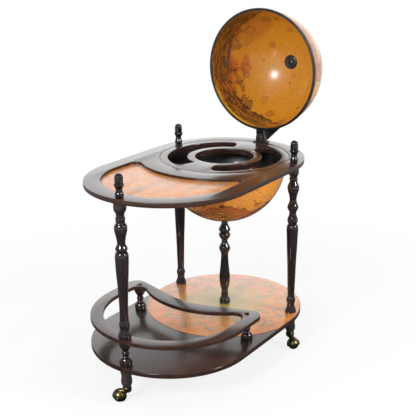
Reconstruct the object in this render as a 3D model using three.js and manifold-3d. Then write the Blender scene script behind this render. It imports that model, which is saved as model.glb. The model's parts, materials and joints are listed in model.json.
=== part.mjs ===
// A globe bar on three casters: two long shelves with round ends, turned legs, a bottle rail,
// and a globe that opens on a hinge at one end.
// Millimetres, +Z up. While the pieces are placed, x = 0 and y = 0 is the globe's upright axis,
// z = 0 is the floor, and -X runs to the front leg. At the end the group is moved so that its
// origin is the middle of its box, on the floor.
import * as THREE from "three";
import { mergeVertices } from "three/addons/utils/BufferGeometryUtils.js";
import Module from "manifold-3d";

const wasm = await Module();
wasm.setup();

// The size that the others follow first: the globe's lower half, outside
const bowlRadius = 200;

// Casters
const ballRadius = 18.5;
const ballTrail = 24.5; // from the swivel's axis to the ball's axle
const ballClearance = 1.5; // between the ball and its hood
const hoodWall = 1.8;
const hoodLow = 5; // how far the hood reaches below the axle, at the axle
const hoodTilt = 22; // the hood's lower edge, degrees
const collarRadius = 14;
const collarHeight = 14;
const hoodArmWidth = 16; // the arm between the collar and the hood
const hoodArmHeight = 13;
const hoodArmDrop = 7; // the arm's upper face under the collar's
const footClearance = 11.7; // between the hood's top and the foot
const swivelGap = 0.5;
const stemRadius = 4;
const socketRadius = 6.6;
const stemClearance = 0.4;
const socketFlangeRadius = 12;
const socketFlange = 1.2;
const axleRadius = 2.5;
const axleClearance = 0.5;
const casterAngles = { front: 112, left: 123, right: -123 };

const hoodInner = ballRadius + ballClearance;
const hoodOuter = hoodInner + hoodWall;
const footBottom = ballRadius + hoodOuter + footClearance;

// Overall sizes
const footLength = 57.2;
const shelfSpacing = 518.5; // upper face to upper face
const shelfThickness = 15;
const shelfCentres = 297; // from one round end's centre to the other's
const shelfChamfer = 2;
const seatGap = 0.3; // between pieces that rest on or in each other

const lowerUnderside = footBottom + footLength + seatGap;
const lowerHeight = lowerUnderside + shelfThickness;
const topHeight = lowerHeight + shelfSpacing; // floor to the top shelf's upper face
const topUnderside = topHeight - shelfThickness;

// Globe
const bowlWall = 3.5;
const flangeWidth = 8.5;
const flangeThickness = 2.5;
const bowlClearance = 1.5; // round the bowl, in the top shelf
const insertThickness = 9; // at its rim
const insertDepth = 18; // inside the bowl, where the slots and the well show its edge
const insertFit = 3.5; // between that deep part and the bowl
const insertOverlap = 9; // of the insert over the bowl's wall and flange
const insertGap = 1.2; // the groove round the insert
const insertChamfer = 1.5;
const slotMargin = 25; // from the insert's edge to its slots
const slotWidth = 63.5;
const slotRing = 25; // between the slots and the round well
const slotInnerCorner = 8;
const slotOuterCorner = 27;
const slotHalfAngle = 72;
const floorDrop = 105; // from the insert's top to the globe's inner floor
const floorThickness = 6;
const lidInset = 0; // the lid's dome inside the bowl's radius
const lidWall = 3;
const lidCollar = 15; // the straight part between the lid's dome and its rim
const lidGap = 1; // between the closed lid's rim and the shelf
const bandDepth = 4.5; // how far the band stands out from the lid
const bandHeight = 10;
const bandLip = 2.7;
const poleCapRadius = 25;
const poleCapHeight = 4;
const poleStudRadius = 3;

const insertRadius = bowlRadius + insertOverlap;
const slotOuter = insertRadius - slotMargin;
const slotInner = slotOuter - slotWidth;
const centreHole = slotInner - slotRing;
const lidRadius = bowlRadius - lidInset;
const bandRadius = lidRadius + bandDepth;

// How the shelves' round ends follow the globe
const globeMargin = 49; // from the insert's edge to the shelf's edge
const endRadius = insertRadius + globeMargin;

// Where the legs stand
const frontLegInset = 22; // from the front end's edge to the leg's axis
const sideLegInset = 26; // from the round end's edge to the leg's axis
const sideLegX = 57;
const frontLegX = frontLegInset - shelfCentres - endRadius;
const sideLegY = Math.sqrt((endRadius - sideLegInset) ** 2 - sideLegX ** 2);
const legPlaces = {
  front: [frontLegX, 0],
  left: [sideLegX, sideLegY],
  right: [sideLegX, -sideLegY],
};

// Studs, bolts and their holes
const studRadius = 4;
const boltClearance = 0.3;
const studHole = studRadius + boltClearance;
const studDepth = 26; // into a leg or a finial
const footStudDepth = footLength / 3;
const socketDepth = footLength / 2;
const boltHeadRadius = 8;
const boltHeadHeight = 4;
const endClearance = 1; // beyond a stud's end, in its hole
const overrun = 5; // by which every cutter passes the face it cuts

// Recess and print in the top shelf
const recessMargin = 50.5;
const recessReach = 65; // from the insert's edge to the recess's hollow side
const recessCorner = 22;
const recessDepth = 9;
const printThickness = 1.2;
const recessArc = insertRadius + recessReach; // about the globe's axis

// Lower print
const lowerPrintOverlap = 7; // its round edge past the shelf's end, where the shelf cuts it
const lowerPrintThickness = 0.8;
const lowerPrintMargin = 3;
const lowerPrintRadius = endRadius + lowerPrintOverlap;

// Bottle rail
const railHeight = 88; // the rail's upper face over the lower shelf
const railThickness = 12;
const railMargin = 1.5;
const railWidth = 40;
const railNear = 15; // from the insert's edge to the rail's side towards the globe
const railBack = 48; // the rail's width there
const railHoleCorner = 31;
const railPostSetback = 42.6; // from the centre of the hole's round corner to the post
const railPostInset = 46; // from the rail's side to the post's axis
const railLobe = 36; // the rail's round ends
const railLobeShift = 6; // from the post's axis to the round end's centre, to the front
const railRodRadius = 3;
const railRodHole = railRodRadius + boltClearance;
const railRodDepth = 10; // into the lower shelf
const railCapRadius = 8;
const railCapHeight = 4;
const railOuterArc = insertRadius + railNear;
const railInnerArc = railOuterArc + railBack;

// Lid hinge
const pivotReach = 28.5; // from the closed lid's band to the pin
const pivotRise = 14; // over the top shelf
const knuckleWidth = 22;
const knuckleRadius = 20;
const knuckleBack = 8; // from the pin to the knuckle's flat back
const plateThickness = 2;
const plateLength = 48;
const plateFront = 19; // from the pin to the plate's inner edge
const plateBack = 17;
const cheekThickness = 3;
const cheekGap = 0.4;
const cheekRadius = 8.5;
const pinRadius = 3;
const pinHole = pinRadius + boltClearance;
const pinHeadRadius = 4.5;
const pinHeadHeight = 2;
const padFront = 12;
const padBack = 2;
const padBottom = 22; // over the pin
const armToeReach = 13; // from the pin to the foot that stops the open lid
const armTip = [62, 47]; // from the pin
const armPlateThickness = 3;
const armTipWidth = 120;
const screwRadius = 1.8;
const screwHole = screwRadius + boltClearance;
const screwHeadRadius = 3.6;
const screwHeadHeight = 2;
const plateScrewLength = 11;
const armScrewLength = 13.5;
const plateScrewSetback = 7; // from the pin towards the globe
const plateScrewY = 18.5;
const armScrewY = 7;
const armScrewSetback = 6.2; // from the lid's rim plane
const armToe = [armToeReach, plateThickness + 2 * seatGap - pivotRise];
const pivotX = bandRadius + pivotReach;
const plateScrewX = pivotX - plateScrewSetback;

// Turned pieces: largest radius, with the length worked out from what they stand between
const finialRadius = 14.5;
const finialHeight = 68.5;
const legRadius = 18.9;
const frontLegRadius = 19.7;
const columnRadius = 19.6;
const postRadius = 18.5;
const footRadius = 18;

// How finely round shapes are divided
const chordError = 0.7; // between an outline's arcs and its straight steps
const globeSides = 36;
const globeRings = 7;
const turnedSides = 10;
const smallSides = 8;
const ballSides = 16;
const ballRings = 8;

// Outlines of turned pieces, from the bottom up: share of the radius, share of the length
const finialShares = [
  [0.76, 0], [0.87, 0.08], [0.83, 0.16], [0.67, 0.25], [0.68, 0.33], [0.86, 0.43], [1, 0.5],
  [0.94, 0.56], [0.78, 0.6], [0.84, 0.75], [0.8, 0.9], [0.5, 0.98],
];
const legShares = [
  [0.95, 0], [0.95, 0.02], [0.67, 0.05], [0.78, 0.09], [0.61, 0.118], [0.67, 0.21],
  [0.75, 0.337], [0.89, 0.46], [0.99, 0.578], [0.95, 0.603], [0.72, 0.621], [0.88, 0.65],
  [0.59, 0.69], [0.93, 0.73], [0.84, 0.748], [0.59, 0.78], [0.71, 0.814], [1, 0.857],
  [0.9, 0.881], [0.62, 0.902], [0.7, 0.918], [0.65, 0.938], [0.86, 0.95], [0.88, 1],
];
const frontLegShares = [
  [0.94, 0], [1, 0.015], [0.96, 0.04], [0.68, 0.075], [0.81, 0.112], [0.67, 0.134],
  [0.66, 0.25], [0.8, 0.4], [0.9, 0.467], [1, 0.597], [0.95, 0.629], [0.72, 0.646],
  [0.88, 0.671], [0.6, 0.7], [0.74, 0.757], [0.95, 0.825], [0.9, 0.848], [0.64, 0.87],
  [0.68, 0.888], [0.6, 0.916], [0.93, 0.936], [0.94, 1],
];
const columnShares = [
  [0.92, 0], [0.92, 0.055], [0.54, 0.109], [0.61, 0.142], [0.54, 0.175],
  [0.92, 0.285], [0.82, 0.4], [0.65, 0.523], [0.6, 0.588], [0.69, 0.615],
  [0.94, 0.665], [0.5, 0.74], [0.99, 0.82], [0.73, 0.847], [1, 0.881],
  [0.8, 0.91], [0.55, 0.95], [0.62, 1],
];
const postShares = [
  [0.97, 0], [1, 0.15], [0.92, 0.25], [0.48, 0.4], [0.64, 0.5],
  [0.48, 0.58], [0.88, 0.82], [1, 0.95], [0.98, 1],
];
const footShares = [
  [0.68, 0], [0.72, 0.06], [0.88, 0.21], [0.93, 0.35], [0.86, 0.52],
  [0.84, 0.62], [0.9, 0.76], [0.99, 0.88], [1, 1],
];

const railCapShares = [[1, 0], [1, 0.3], [0.8, 0.7], [0.4, 0.95]];

// Materials
const paint = (color, roughness, metalness) =>
  new THREE.MeshStandardMaterial({ color, roughness, metalness });
const darkWood = paint("#33211d", 0.3, 0);
const turnedWood = paint("#1b1414", 0.22, 0);
const topPrint = paint("#d98a3f", 0.35, 0);
const lowerPrint = paint("#d27a3c", 0.35, 0);
const globeSkin = paint("#c07f26", 0.25, 0);
const glossBlack = paint("#15161c", 0.3, 0);
const blackMetal = paint("#2a2a2c", 0.45, 0.8);
const brass = paint("#8d7a45", 0.35, 1);
const steel = paint("#8f9194", 0.4, 1);

// Closed solids from three.js geometry, and back
const mergeDistance = 1e-4;

function solidOf(geometry) {
  const bare = geometry.clone();
  bare.deleteAttribute("normal");
  bare.deleteAttribute("uv");
  const merged = mergeVertices(bare, mergeDistance);
  const corners = merged.index.array;
  const kept = [];
  for (let i = 0; i < corners.length; i += 3) {
    const [a, b, c] = [corners[i], corners[i + 1], corners[i + 2]];
    if (a !== b && b !== c && c !== a) kept.push(a, b, c);
  }
  const mesh = new wasm.Mesh({
    numProp: 3,
    vertProperties: new Float32Array(merged.attributes.position.array),
    triVerts: new Uint32Array(kept),
  });
  mesh.merge();
  return new wasm.Manifold(mesh);
}

function geometryOf(solid) {
  const mesh = solid.getMesh();
  const geometry = new THREE.BufferGeometry();
  geometry.setAttribute("position", new THREE.BufferAttribute(mesh.vertProperties, 3));
  geometry.setIndex(new THREE.BufferAttribute(mesh.triVerts, 1));
  geometry.computeVertexNormals();
  return geometry;
}

// Basic shapes, upright on z
function revolved(points, sides) {
  const profile = points.map(([radius, height]) => new THREE.Vector2(radius, height));
  return solidOf(new THREE.LatheGeometry(profile, sides).rotateX(Math.PI / 2));
}

function rod(radius, low, high, x = 0, y = 0, sides = smallSides) {
  return revolved([[0, low], [radius, low], [radius, high], [0, high]], sides)
    .translate([x, y, 0]);
}

function crossRod(radius, length, sides = smallSides) {
  return rod(radius, -length / 2, length / 2, 0, 0, sides).rotate([90, 0, 0]);
}

function block(lowX, highX, lowY, highY, lowZ, highZ) {
  const size = [highX - lowX, highY - lowY, highZ - lowZ];
  const middle = [(lowX + highX) / 2, (lowY + highY) / 2, (lowZ + highZ) / 2];
  return solidOf(new THREE.BoxGeometry(...size)).translate(middle);
}

function sheet(shape, low, high, chamfer = 0) {
  const geometry = new THREE.ExtrudeGeometry(shape, {
    depth: high - low - 2 * chamfer,
    bevelEnabled: chamfer > 0,
    bevelThickness: chamfer,
    bevelSize: chamfer,
    bevelOffset: -chamfer,
    bevelSegments: 1,
  });
  return solidOf(geometry.translate(0, 0, low + chamfer));
}

function ball(radius, sides, rings) {
  return solidOf(new THREE.SphereGeometry(radius, sides, rings));
}

function turned(shares, radius, length, sides = turnedSides) {
  const outline = shares.map(([across, up]) => [across * radius, up * length]);
  const [foot, head] = [outline[0], outline[outline.length - 1]];
  const end = head[1] < length ? [[0, length]] : [[0, head[1]]];
  return revolved([[0, foot[1]], ...outline, ...end], sides);
}

// Outlines of the shelves, the recess, the rail and the insert's slots
const quarter = Math.PI / 2;

// Points along an arc, close enough together for the chord error
function arc(x, y, radius, from, to) {
  const widest = 2 * Math.acos(1 - chordError / radius);
  const steps = Math.max(2, Math.ceil(Math.abs(to - from) / widest));
  return Array.from({ length: steps + 1 }, (_, i) => {
    const angle = from + ((to - from) * i) / steps;
    return new THREE.Vector2(x + radius * Math.cos(angle), y + radius * Math.sin(angle));
  });
}

function shelfShape(margin) {
  const radius = endRadius - margin;
  return new THREE.Shape([
    ...arc(0, 0, radius, -quarter, quarter),
    ...arc(-shelfCentres, 0, radius, quarter, 3 * quarter),
  ]);
}

// The front end's outline, drawn in by a margin and hollowed by a circle about the globe's axis
function leafCorner(margin, hollow, corner) {
  const cornerY = endRadius - margin - corner;
  return [-Math.sqrt((hollow + corner) ** 2 - cornerY ** 2), cornerY];
}

function leafShape(margin, hollow, corner) {
  const side = endRadius - margin;
  const [cornerX, cornerY] = leafCorner(margin, hollow, corner);
  const turn = Math.atan2(cornerY, -cornerX);
  return new THREE.Shape([
    ...arc(-shelfCentres, 0, side, quarter, 3 * quarter),
    ...arc(cornerX, -cornerY, corner, -quarter, turn),
    ...arc(0, 0, hollow, Math.PI + turn, Math.PI - turn),
    ...arc(cornerX, cornerY, corner, -turn, quarter),
  ]);
}

// The rail's outer outline: as above, but with a round end beside each post
const railSide = endRadius - railMargin;
const railHole = [railMargin + railWidth, railInnerArc, railHoleCorner];
const railPostX = leafCorner(...railHole)[0] + railPostSetback;
const railPostY = railSide - railPostInset;

function railShape() {
  const [x, y] = [railPostX - railLobeShift, railSide - railLobe];
  const lean = Math.acos((railOuterArc + railLobe) / Math.hypot(x, y));
  const turn = Math.PI - Math.atan2(y, x) - lean;
  const shape = new THREE.Shape([
    ...arc(-shelfCentres, 0, railSide, quarter, 3 * quarter),
    ...arc(x, -y, railLobe, -quarter, turn),
    ...arc(0, 0, railOuterArc, Math.PI + turn, Math.PI - turn),
    ...arc(x, y, railLobe, -turn, quarter),
  ]);
  shape.holes.push(leafShape(...railHole));
  return shape;
}

// A curved slot between two circles: its ends have a small inner and a large outer corner
function slotShape(middleAngle) {
  const half = THREE.MathUtils.degToRad(slotHalfAngle);
  const middle = THREE.MathUtils.degToRad(middleAngle);
  const inner = Math.asin(slotInnerCorner / (slotInner + slotInnerCorner));
  const outer = Math.asin(slotOuterCorner / (slotOuter - slotOuterCorner));
  const [innerR, outerR] = [slotInner + slotInnerCorner, slotOuter - slotOuterCorner];
  const corner = (radius, angle, size, from, to) =>
    arc(radius * Math.cos(angle), radius * Math.sin(angle), size, from, to);
  const [start, end] = [middle - half, middle + half];
  return new THREE.Path([
    ...arc(0, 0, slotOuter, start + outer, end - outer),
    ...corner(outerR, end - outer, slotOuterCorner, end - outer, end + quarter),
    ...corner(innerR, end - inner, slotInnerCorner, end + quarter, end - inner + Math.PI),
    ...arc(0, 0, slotInner, end - inner, start + inner),
    ...corner(innerR, start + inner, slotInnerCorner, start + inner + Math.PI, start + 3 * quarter),
    ...corner(outerR, start + outer, slotOuterCorner, start - quarter, start + outer),
  ]);
}

// The scene graph
const globeBar = new THREE.Group();

function place(parent, name, solid, material, x = 0, y = 0, z = 0) {
  const mesh = new THREE.Mesh(geometryOf(solid), material);
  mesh.name = name;
  mesh.position.set(x, y, z);
  parent.add(mesh);
}

function drilled(solid, holes, radius, low, high) {
  return holes.reduce((left, [x, y]) => left.subtract(rod(radius, low, high, x, y)), solid);
}

// Top shelf: the globe's stepped opening, the print's recess and the legs' stud holes
const flangeSeat = insertThickness + flangeThickness + 2 * seatGap;
const stepRadius = insertRadius + insertGap;
const flangeBottom = topHeight - flangeSeat + seatGap;

function topShelf() {
  const opening = rod(bowlRadius + bowlClearance, topUnderside - overrun, topHeight + overrun,
    0, 0, globeSides);
  const step = rod(stepRadius, topHeight - flangeSeat, topHeight + overrun, 0, 0, globeSides);
  const recess = sheet(leafShape(recessMargin, recessArc, recessCorner),
    topHeight - recessDepth, topHeight + overrun);
  const board = sheet(shelfShape(0), topUnderside, topHeight, shelfChamfer)
    .subtract(opening)
    .subtract(step)
    .subtract(recess);
  const holes = Object.values(legPlaces);
  return drilled(board, holes, studHole, topUnderside - overrun, topHeight + overrun)
    .subtract(plateScrewHoles(topHeight));
}

function topMapPanel() {
  const low = topHeight - recessDepth + seatGap;
  const outline = leafShape(recessMargin + seatGap, recessArc + seatGap, recessCorner - seatGap);
  return sheet(outline, low, low + printThickness);
}

// Lower shelf with the holes of the studs, the column's bolt and the rail's rods
const railPosts = { left: [railPostX, railPostY], right: [railPostX, -railPostY] };

function lowerShelf() {
  const [low, high] = [lowerUnderside - overrun, lowerHeight + overrun];
  const board = sheet(shelfShape(0), lowerUnderside, lowerHeight, shelfChamfer);
  const studs = [...Object.values(legPlaces), [0, 0]];
  const sunk = lowerHeight - railRodDepth - endClearance;
  return drilled(drilled(board, studs, studHole, low, high),
    Object.values(railPosts), railRodHole, sunk, high);
}

function lowerMapDisc() {
  const low = lowerHeight + seatGap;
  const high = low + lowerPrintThickness;
  const [under, over] = [low - overrun, high + overrun];
  const holeFor = (radius, x, y) => rod(radius + seatGap, under, over, x, y, turnedSides);
  const disc = rod(lowerPrintRadius, low, high, 0, 0, globeSides);
  return disc
    .intersect(sheet(shelfShape(lowerPrintMargin), under, over))
    .subtract(holeFor(columnRadius, 0, 0))
    .subtract(holeFor(legRadius, sideLegX, sideLegY))
    .subtract(holeFor(legRadius, sideLegX, -sideLegY));
}

place(globeBar, "top_shelf", topShelf(), darkWood);
place(globeBar, "top_map_panel", topMapPanel(), topPrint);
place(globeBar, "lower_shelf", lowerShelf(), darkWood);
place(globeBar, "lower_map_disc", lowerMapDisc(), lowerPrint);

// Legs, feet and finials, with the studs that hold them together through the shelves
const railTop = lowerHeight + railHeight;
const railBottom = railTop - railThickness;

function leg(shares, radius, bottom) {
  const length = topUnderside - seatGap - bottom;
  return turned(shares, radius, length)
    .subtract(rod(studHole, -overrun, studDepth + endClearance))
    .subtract(rod(studHole, length - studDepth - endClearance, length + overrun));
}

function foot() {
  return turned(footShares, footRadius, footLength)
    .subtract(rod(studHole, footLength - footStudDepth - endClearance, footLength + overrun))
    .subtract(rod(socketRadius + seatGap, -overrun, socketDepth + endClearance));
}

function finial() {
  return turned(finialShares, finialRadius, finialHeight)
    .subtract(rod(studHole, -overrun, studDepth + endClearance));
}

for (const [side, [x, y]] of Object.entries(legPlaces)) {
  const atFront = side === "front";
  const bottom = (atFront ? railTop : lowerHeight) + seatGap;
  const shape = atFront
    ? leg(frontLegShares, frontLegRadius, bottom)
    : leg(legShares, legRadius, bottom);
  const topStud = rod(studRadius, topUnderside - studDepth, topHeight + studDepth);
  const lowStud = rod(studRadius, lowerUnderside - footStudDepth, bottom + studDepth);
  place(globeBar, `leg_${side}`, shape, turnedWood, x, y, bottom);
  place(globeBar, `foot_${side}`, foot(), turnedWood, x, y, footBottom);
  place(globeBar, `finial_${side}`, finial(), turnedWood, x, y, topHeight + seatGap);
  place(globeBar, `top_stud_${side}`, topStud, steel, x, y);
  place(globeBar, `lower_stud_${side}`, lowStud, steel, x, y);
}

// Bottle rail on its posts: the front post is held by the front leg's long stud
function post(hole) {
  const length = railBottom - lowerHeight - 2 * seatGap;
  return turned(postShares, postRadius, length).subtract(rod(hole, -overrun, length + overrun));
}

function bottleRail() {
  const [low, high] = [railBottom - overrun, railTop + overrun];
  const board = sheet(railShape(), railBottom, railTop, shelfChamfer);
  return drilled(drilled(board, [legPlaces.front], studHole, low, high),
    Object.values(railPosts), railRodHole, low, high);
}

function railCap() {
  return turned(railCapShares, railCapRadius, railCapHeight)
    .subtract(rod(railRodHole, -overrun, railCapHeight / 2));
}

place(globeBar, "bottle_rail", bottleRail(), darkWood);
place(globeBar, "rail_post_front", post(studHole), turnedWood,
  frontLegX, 0, lowerHeight + seatGap);
for (const [side, [x, y]] of Object.entries(railPosts)) {
  const capBottom = railTop + seatGap;
  const railRod = rod(railRodRadius, lowerHeight - railRodDepth, capBottom + seatGap);
  place(globeBar, `rail_post_${side}`, post(railRodHole), turnedWood, x, y,
    lowerHeight + seatGap);
  place(globeBar, `rail_cap_${side}`, railCap(), brass, x, y, capBottom);
  place(globeBar, `rail_rod_${side}`, railRod, steel, x, y);
}

// Globe's lower half: a bowl that hangs by its flange in the top shelf, its floor and the insert
const bowlCentre = topUnderside;

function arcPoints(radius, centre, fromAngle, toAngle, steps) {
  return Array.from({ length: steps + 1 }, (_, i) => {
    const angle = fromAngle + ((toAngle - fromAngle) * i) / steps;
    return [radius * Math.cos(angle), centre + radius * Math.sin(angle)];
  });
}

// How far a dome's facets fall from its pole to a place this far across
const facetDrop = (across) => across * Math.tan(quarter / globeRings / 2);

// How far a dome's facets reach from its axis, at a height from its widest place
function facetReach(radius, height) {
  const points = arcPoints(radius, 0, 0, quarter, globeRings);
  const next = points.findIndex(([, up]) => up > height);
  const [[lowReach, low], [highReach, high]] = [points[next - 1], points[next]];
  return lowReach + ((highReach - lowReach) * (height - low)) / (high - low);
}

function globeBowl() {
  const inner = bowlRadius - bowlWall;
  const flangeTop = flangeBottom + flangeThickness;
  const outside = arcPoints(bowlRadius, bowlCentre, -Math.PI / 2, 0, globeRings);
  const inside = arcPoints(inner, bowlCentre, 0, -Math.PI / 2, globeRings);
  outside[0][0] = 0;
  inside[globeRings][0] = 0;
  const flange = [
    [bowlRadius, flangeBottom],
    [bowlRadius + flangeWidth, flangeBottom],
    [bowlRadius + flangeWidth, flangeTop],
    [inner, flangeTop],
  ];
  const bottom = bowlCentre - bowlRadius;
  return revolved([...outside, ...flange, ...inside], globeSides)
    .subtract(rod(studHole, bottom - overrun, bottom + bowlWall + overrun));
}

function globeFloor() {
  const high = topHeight - floorDrop;
  const low = high - floorThickness;
  const radius = facetReach(bowlRadius - bowlWall, bowlCentre - low) - seatGap;
  return rod(radius, low, high, 0, 0, globeSides);
}

function insertLayer(radius, low, high) {
  const shape = new THREE.Shape(arc(0, 0, radius, 0, 4 * quarter));
  const well = new THREE.Path(arc(0, 0, centreHole, 0, 4 * quarter));
  shape.holes.push(well, slotShape(90), slotShape(-90));
  return sheet(shape, low, high, insertChamfer);
}

function ringInsert() {
  const deepRadius = bowlRadius - bowlWall - insertFit;
  const deepTop = topHeight - insertThickness / 2;
  return insertLayer(insertRadius, topHeight - insertThickness, topHeight)
    .add(insertLayer(deepRadius, topHeight - insertDepth, deepTop));
}

// Column under the bowl, held by a bolt from inside the bowl and one from under the lower shelf
const columnTop = bowlCentre - bowlRadius - seatGap;
const columnBottom = lowerHeight + seatGap;

function column() {
  const length = columnTop - columnBottom;
  return turned(columnShares, columnRadius, length)
    .subtract(rod(studHole, -overrun, studDepth + endClearance))
    .subtract(rod(studHole, length - studDepth - endClearance, length + overrun));
}

function headedBolt(length) {
  return rod(studRadius, 0, length).add(rod(boltHeadRadius, length, length + boltHeadHeight));
}

place(globeBar, "globe_bowl", globeBowl(), globeSkin);
place(globeBar, "globe_floor", globeFloor(), glossBlack);
place(globeBar, "ring_insert", ringInsert(), darkWood);
place(globeBar, "column", column(), turnedWood, 0, 0, columnBottom);
const bowlBoltLength = studDepth + seatGap + bowlWall + seatGap + facetDrop(boltHeadRadius);
place(globeBar, "bowl_bolt", headedBolt(bowlBoltLength), steel, 0, 0, columnTop - studDepth);
const columnBoltLength = studDepth + seatGap + shelfThickness + seatGap;
place(globeBar, "column_bolt", headedBolt(columnBoltLength).rotate([180, 0, 0]), steel,
  0, 0, columnBottom + studDepth);

// Hinge base on the top shelf: a plate with a knuckle, its two screws and the pin
const pivotZ = topHeight + pivotRise;

// The arm's plate, on a line from its toe to its tip: its length, slope and distance from the pin
const armRun = armTip[0] - armToe[0];
const armRise = armTip[1] - armToe[1];
const armLength = Math.hypot(armRun, armRise);
const armSlope = THREE.MathUtils.radToDeg(Math.atan2(armRise, armRun));
const armOffset = (armToe[0] * armRise - armToe[1] * armRun) / armLength;

const sidePiece = (shape, width) =>
  solidOf(new THREE.ExtrudeGeometry(shape, { depth: width, bevelEnabled: false, curveSegments: 5 })
    .translate(0, 0, -width / 2)
    .rotateX(Math.PI / 2));

function plateScrewHoles(surface) {
  const [low, high] = [surface - plateScrewLength - endClearance, surface + overrun];
  return rod(screwHole, low, high, plateScrewX, plateScrewY)
    .add(rod(screwHole, low, high, plateScrewX, -plateScrewY));
}

function hingeBase() {
  const plateLow = seatGap - pivotRise;
  const plateHigh = plateLow + plateThickness;
  const lastAngle = Math.acos(knuckleBack / knuckleRadius);
  const outline = new THREE.Shape();
  outline.moveTo(-knuckleRadius, plateLow);
  outline.lineTo(knuckleBack, plateLow);
  outline.absarc(0, 0, knuckleRadius, lastAngle, Math.PI);
  const plate = block(-plateFront, plateBack, -plateLength / 2, plateLength / 2,
    plateLow, plateHigh);
  const armInner = armOffset - armPlateThickness - seatGap;
  const closedArm = block(armInner, armInner + knuckleRadius, -knuckleWidth, knuckleWidth,
    -2 * knuckleRadius, 2 * knuckleRadius).rotate([0, -armSlope, 0]);
  return sidePiece(outline, knuckleWidth)
    .subtract(closedArm)
    .add(plate)
    .subtract(crossRod(pinHole, knuckleWidth + overrun, turnedSides))
    .subtract(plateScrewHoles(topHeight).translate([-pivotX, 0, -pivotZ]));
}

function screw(length) {
  return rod(screwRadius, -length, 0)
    .add(revolved([[0, 0], [screwHeadRadius, 0], [screwHeadRadius, screwHeadHeight / 2],
      [screwHeadRadius / 2, screwHeadHeight], [0, screwHeadHeight]], smallSides));
}

const cheekInner = knuckleWidth / 2 + cheekGap;
const cheekOuter = cheekInner + cheekThickness;

function hingePin() {
  const reach = 2 * (cheekOuter + seatGap);
  const head = crossRod(pinHeadRadius, pinHeadHeight, turnedSides);
  const headY = reach / 2 + pinHeadHeight / 2;
  return crossRod(pinRadius, reach + pinHeadHeight, turnedSides)
    .add(head.translate([0, headY, 0]))
    .add(head.translate([0, -headY, 0]));
}

place(globeBar, "hinge_base", hingeBase(), blackMetal, pivotX, 0, pivotZ);
place(globeBar, "hinge_pin", hingePin(), brass, pivotX, 0, pivotZ);
const plateTop = topHeight + seatGap + plateThickness + seatGap;
for (const [side, y] of [["left", plateScrewY], ["right", -plateScrewY]]) {
  place(globeBar, `hinge_screw_${side}`, screw(plateScrewLength), brass, plateScrewX, y, plateTop);
}

// Lid, standing open: its rim is upright, its dome points along +X. Closed, it turns a quarter
// about the pin and its rim lies over the shelf, centred on the globe's axis.
const lid = new THREE.Group();
const rimPlaneX = pivotX - pivotRise + lidGap;
const rimCentreZ = pivotZ + pivotX;
lid.position.set(rimPlaneX, 0, rimCentreZ);
globeBar.add(lid);

const domeCentre = lidCollar;
const alongX = (solid) => solid.rotate([0, 90, 0]);
const armScrewHoles = (radius) => [-armScrewY, armScrewY]
  .map((y) => rod(radius, -bandRadius - overrun, screwHeadHeight - lidRadius + overrun)
    .translate([armScrewSetback, y, 0]))
  .reduce((one, other) => one.add(other));

function lidDome(radius) {
  const points = arcPoints(radius, domeCentre, 0, quarter, globeRings);
  points[globeRings][0] = 0;
  return points;
}

function globeLid() {
  const inner = lidRadius - lidWall;
  const low = bandLip + seatGap;
  const edge = [[inner, low], [lidRadius, low]];
  const shell = revolved([...lidDome(inner).reverse(), ...edge, ...lidDome(lidRadius)], globeSides);
  const poleHole = rod(poleStudRadius + boltClearance, domeCentre, lidRadius + domeCentre + overrun);
  return alongX(shell.subtract(poleHole)).subtract(armScrewHoles(screwHole));
}

function lidBand() {
  const inner = lidRadius - lidWall;
  const sleeve = lidRadius / Math.cos(Math.PI / globeSides) + seatGap;
  const outline = [
    [inner, 0], [bandRadius, 0], [bandRadius, bandHeight], [sleeve, bandHeight],
    [sleeve, bandLip], [inner, bandLip], [inner, 0],
  ];
  return alongX(revolved(outline, globeSides)).subtract(armScrewHoles(screwHole));
}

// Pole caps: a dished cap inside and one outside, joined by a stud through the dome
const poleStudTop = domeCentre + lidRadius + poleCapHeight / 2;

function poleCapInner() {
  const pole = domeCentre + lidRadius - lidWall - seatGap;
  const back = pole - facetDrop(poleCapRadius) - poleCapHeight;
  const outline = [
    [0, back], [poleCapRadius / 2, back],
    [poleCapRadius, pole - facetDrop(poleCapRadius)], [0, pole],
  ];
  return alongX(revolved(outline, turnedSides).add(rod(poleStudRadius, back + seatGap, poleStudTop)));
}

function poleCapOuter() {
  const pole = domeCentre + lidRadius + seatGap;
  const high = pole + poleCapHeight;
  const outline = [
    [0, pole], [poleCapRadius, pole - facetDrop(poleCapRadius)],
    [poleCapRadius / 2, high], [0, high],
  ];
  return alongX(revolved(outline, turnedSides)
    .subtract(rod(poleStudRadius + boltClearance, domeCentre, poleStudTop + seatGap)));
}

// Hinge arm: two cheeks on the pin, a pad under the rim band and a flaring plate that meets
// the dome. Its places are measured from the pin.
const fromPin = (solid) => solid.translate([pivotX - rimPlaneX, 0, pivotZ - rimCentreZ]);

function armPlate() {
  const flare = new THREE.Shape();
  flare.moveTo(0, -cheekOuter);
  flare.lineTo(armLength, -armTipWidth / 2);
  flare.lineTo(armLength, armTipWidth / 2);
  flare.lineTo(0, cheekOuter);
  return sheet(flare, 0, armPlateThickness)
    .rotate([0, -armSlope, 0])
    .translate([armToe[0], 0, armToe[1]]);
}

function armCheek() {
  const padTop = pivotX - bandRadius - seatGap;
  const outline = new THREE.Shape();
  outline.moveTo(-cheekRadius, 0);
  outline.absarc(0, 0, cheekRadius, -Math.PI, -Math.PI / 4);
  outline.lineTo(armToe[0] + armPlateThickness / 2, armToe[1] + armPlateThickness);
  outline.lineTo(armTip[0] / 2, armTip[1] / 2 - armPlateThickness);
  outline.lineTo(armTip[0] / 2, padTop + armPlateThickness);
  outline.lineTo(padBack, padTop);
  outline.lineTo(-padFront, padTop);
  outline.lineTo(-padFront, padBottom);
  return sidePiece(outline, cheekThickness);
}

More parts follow.
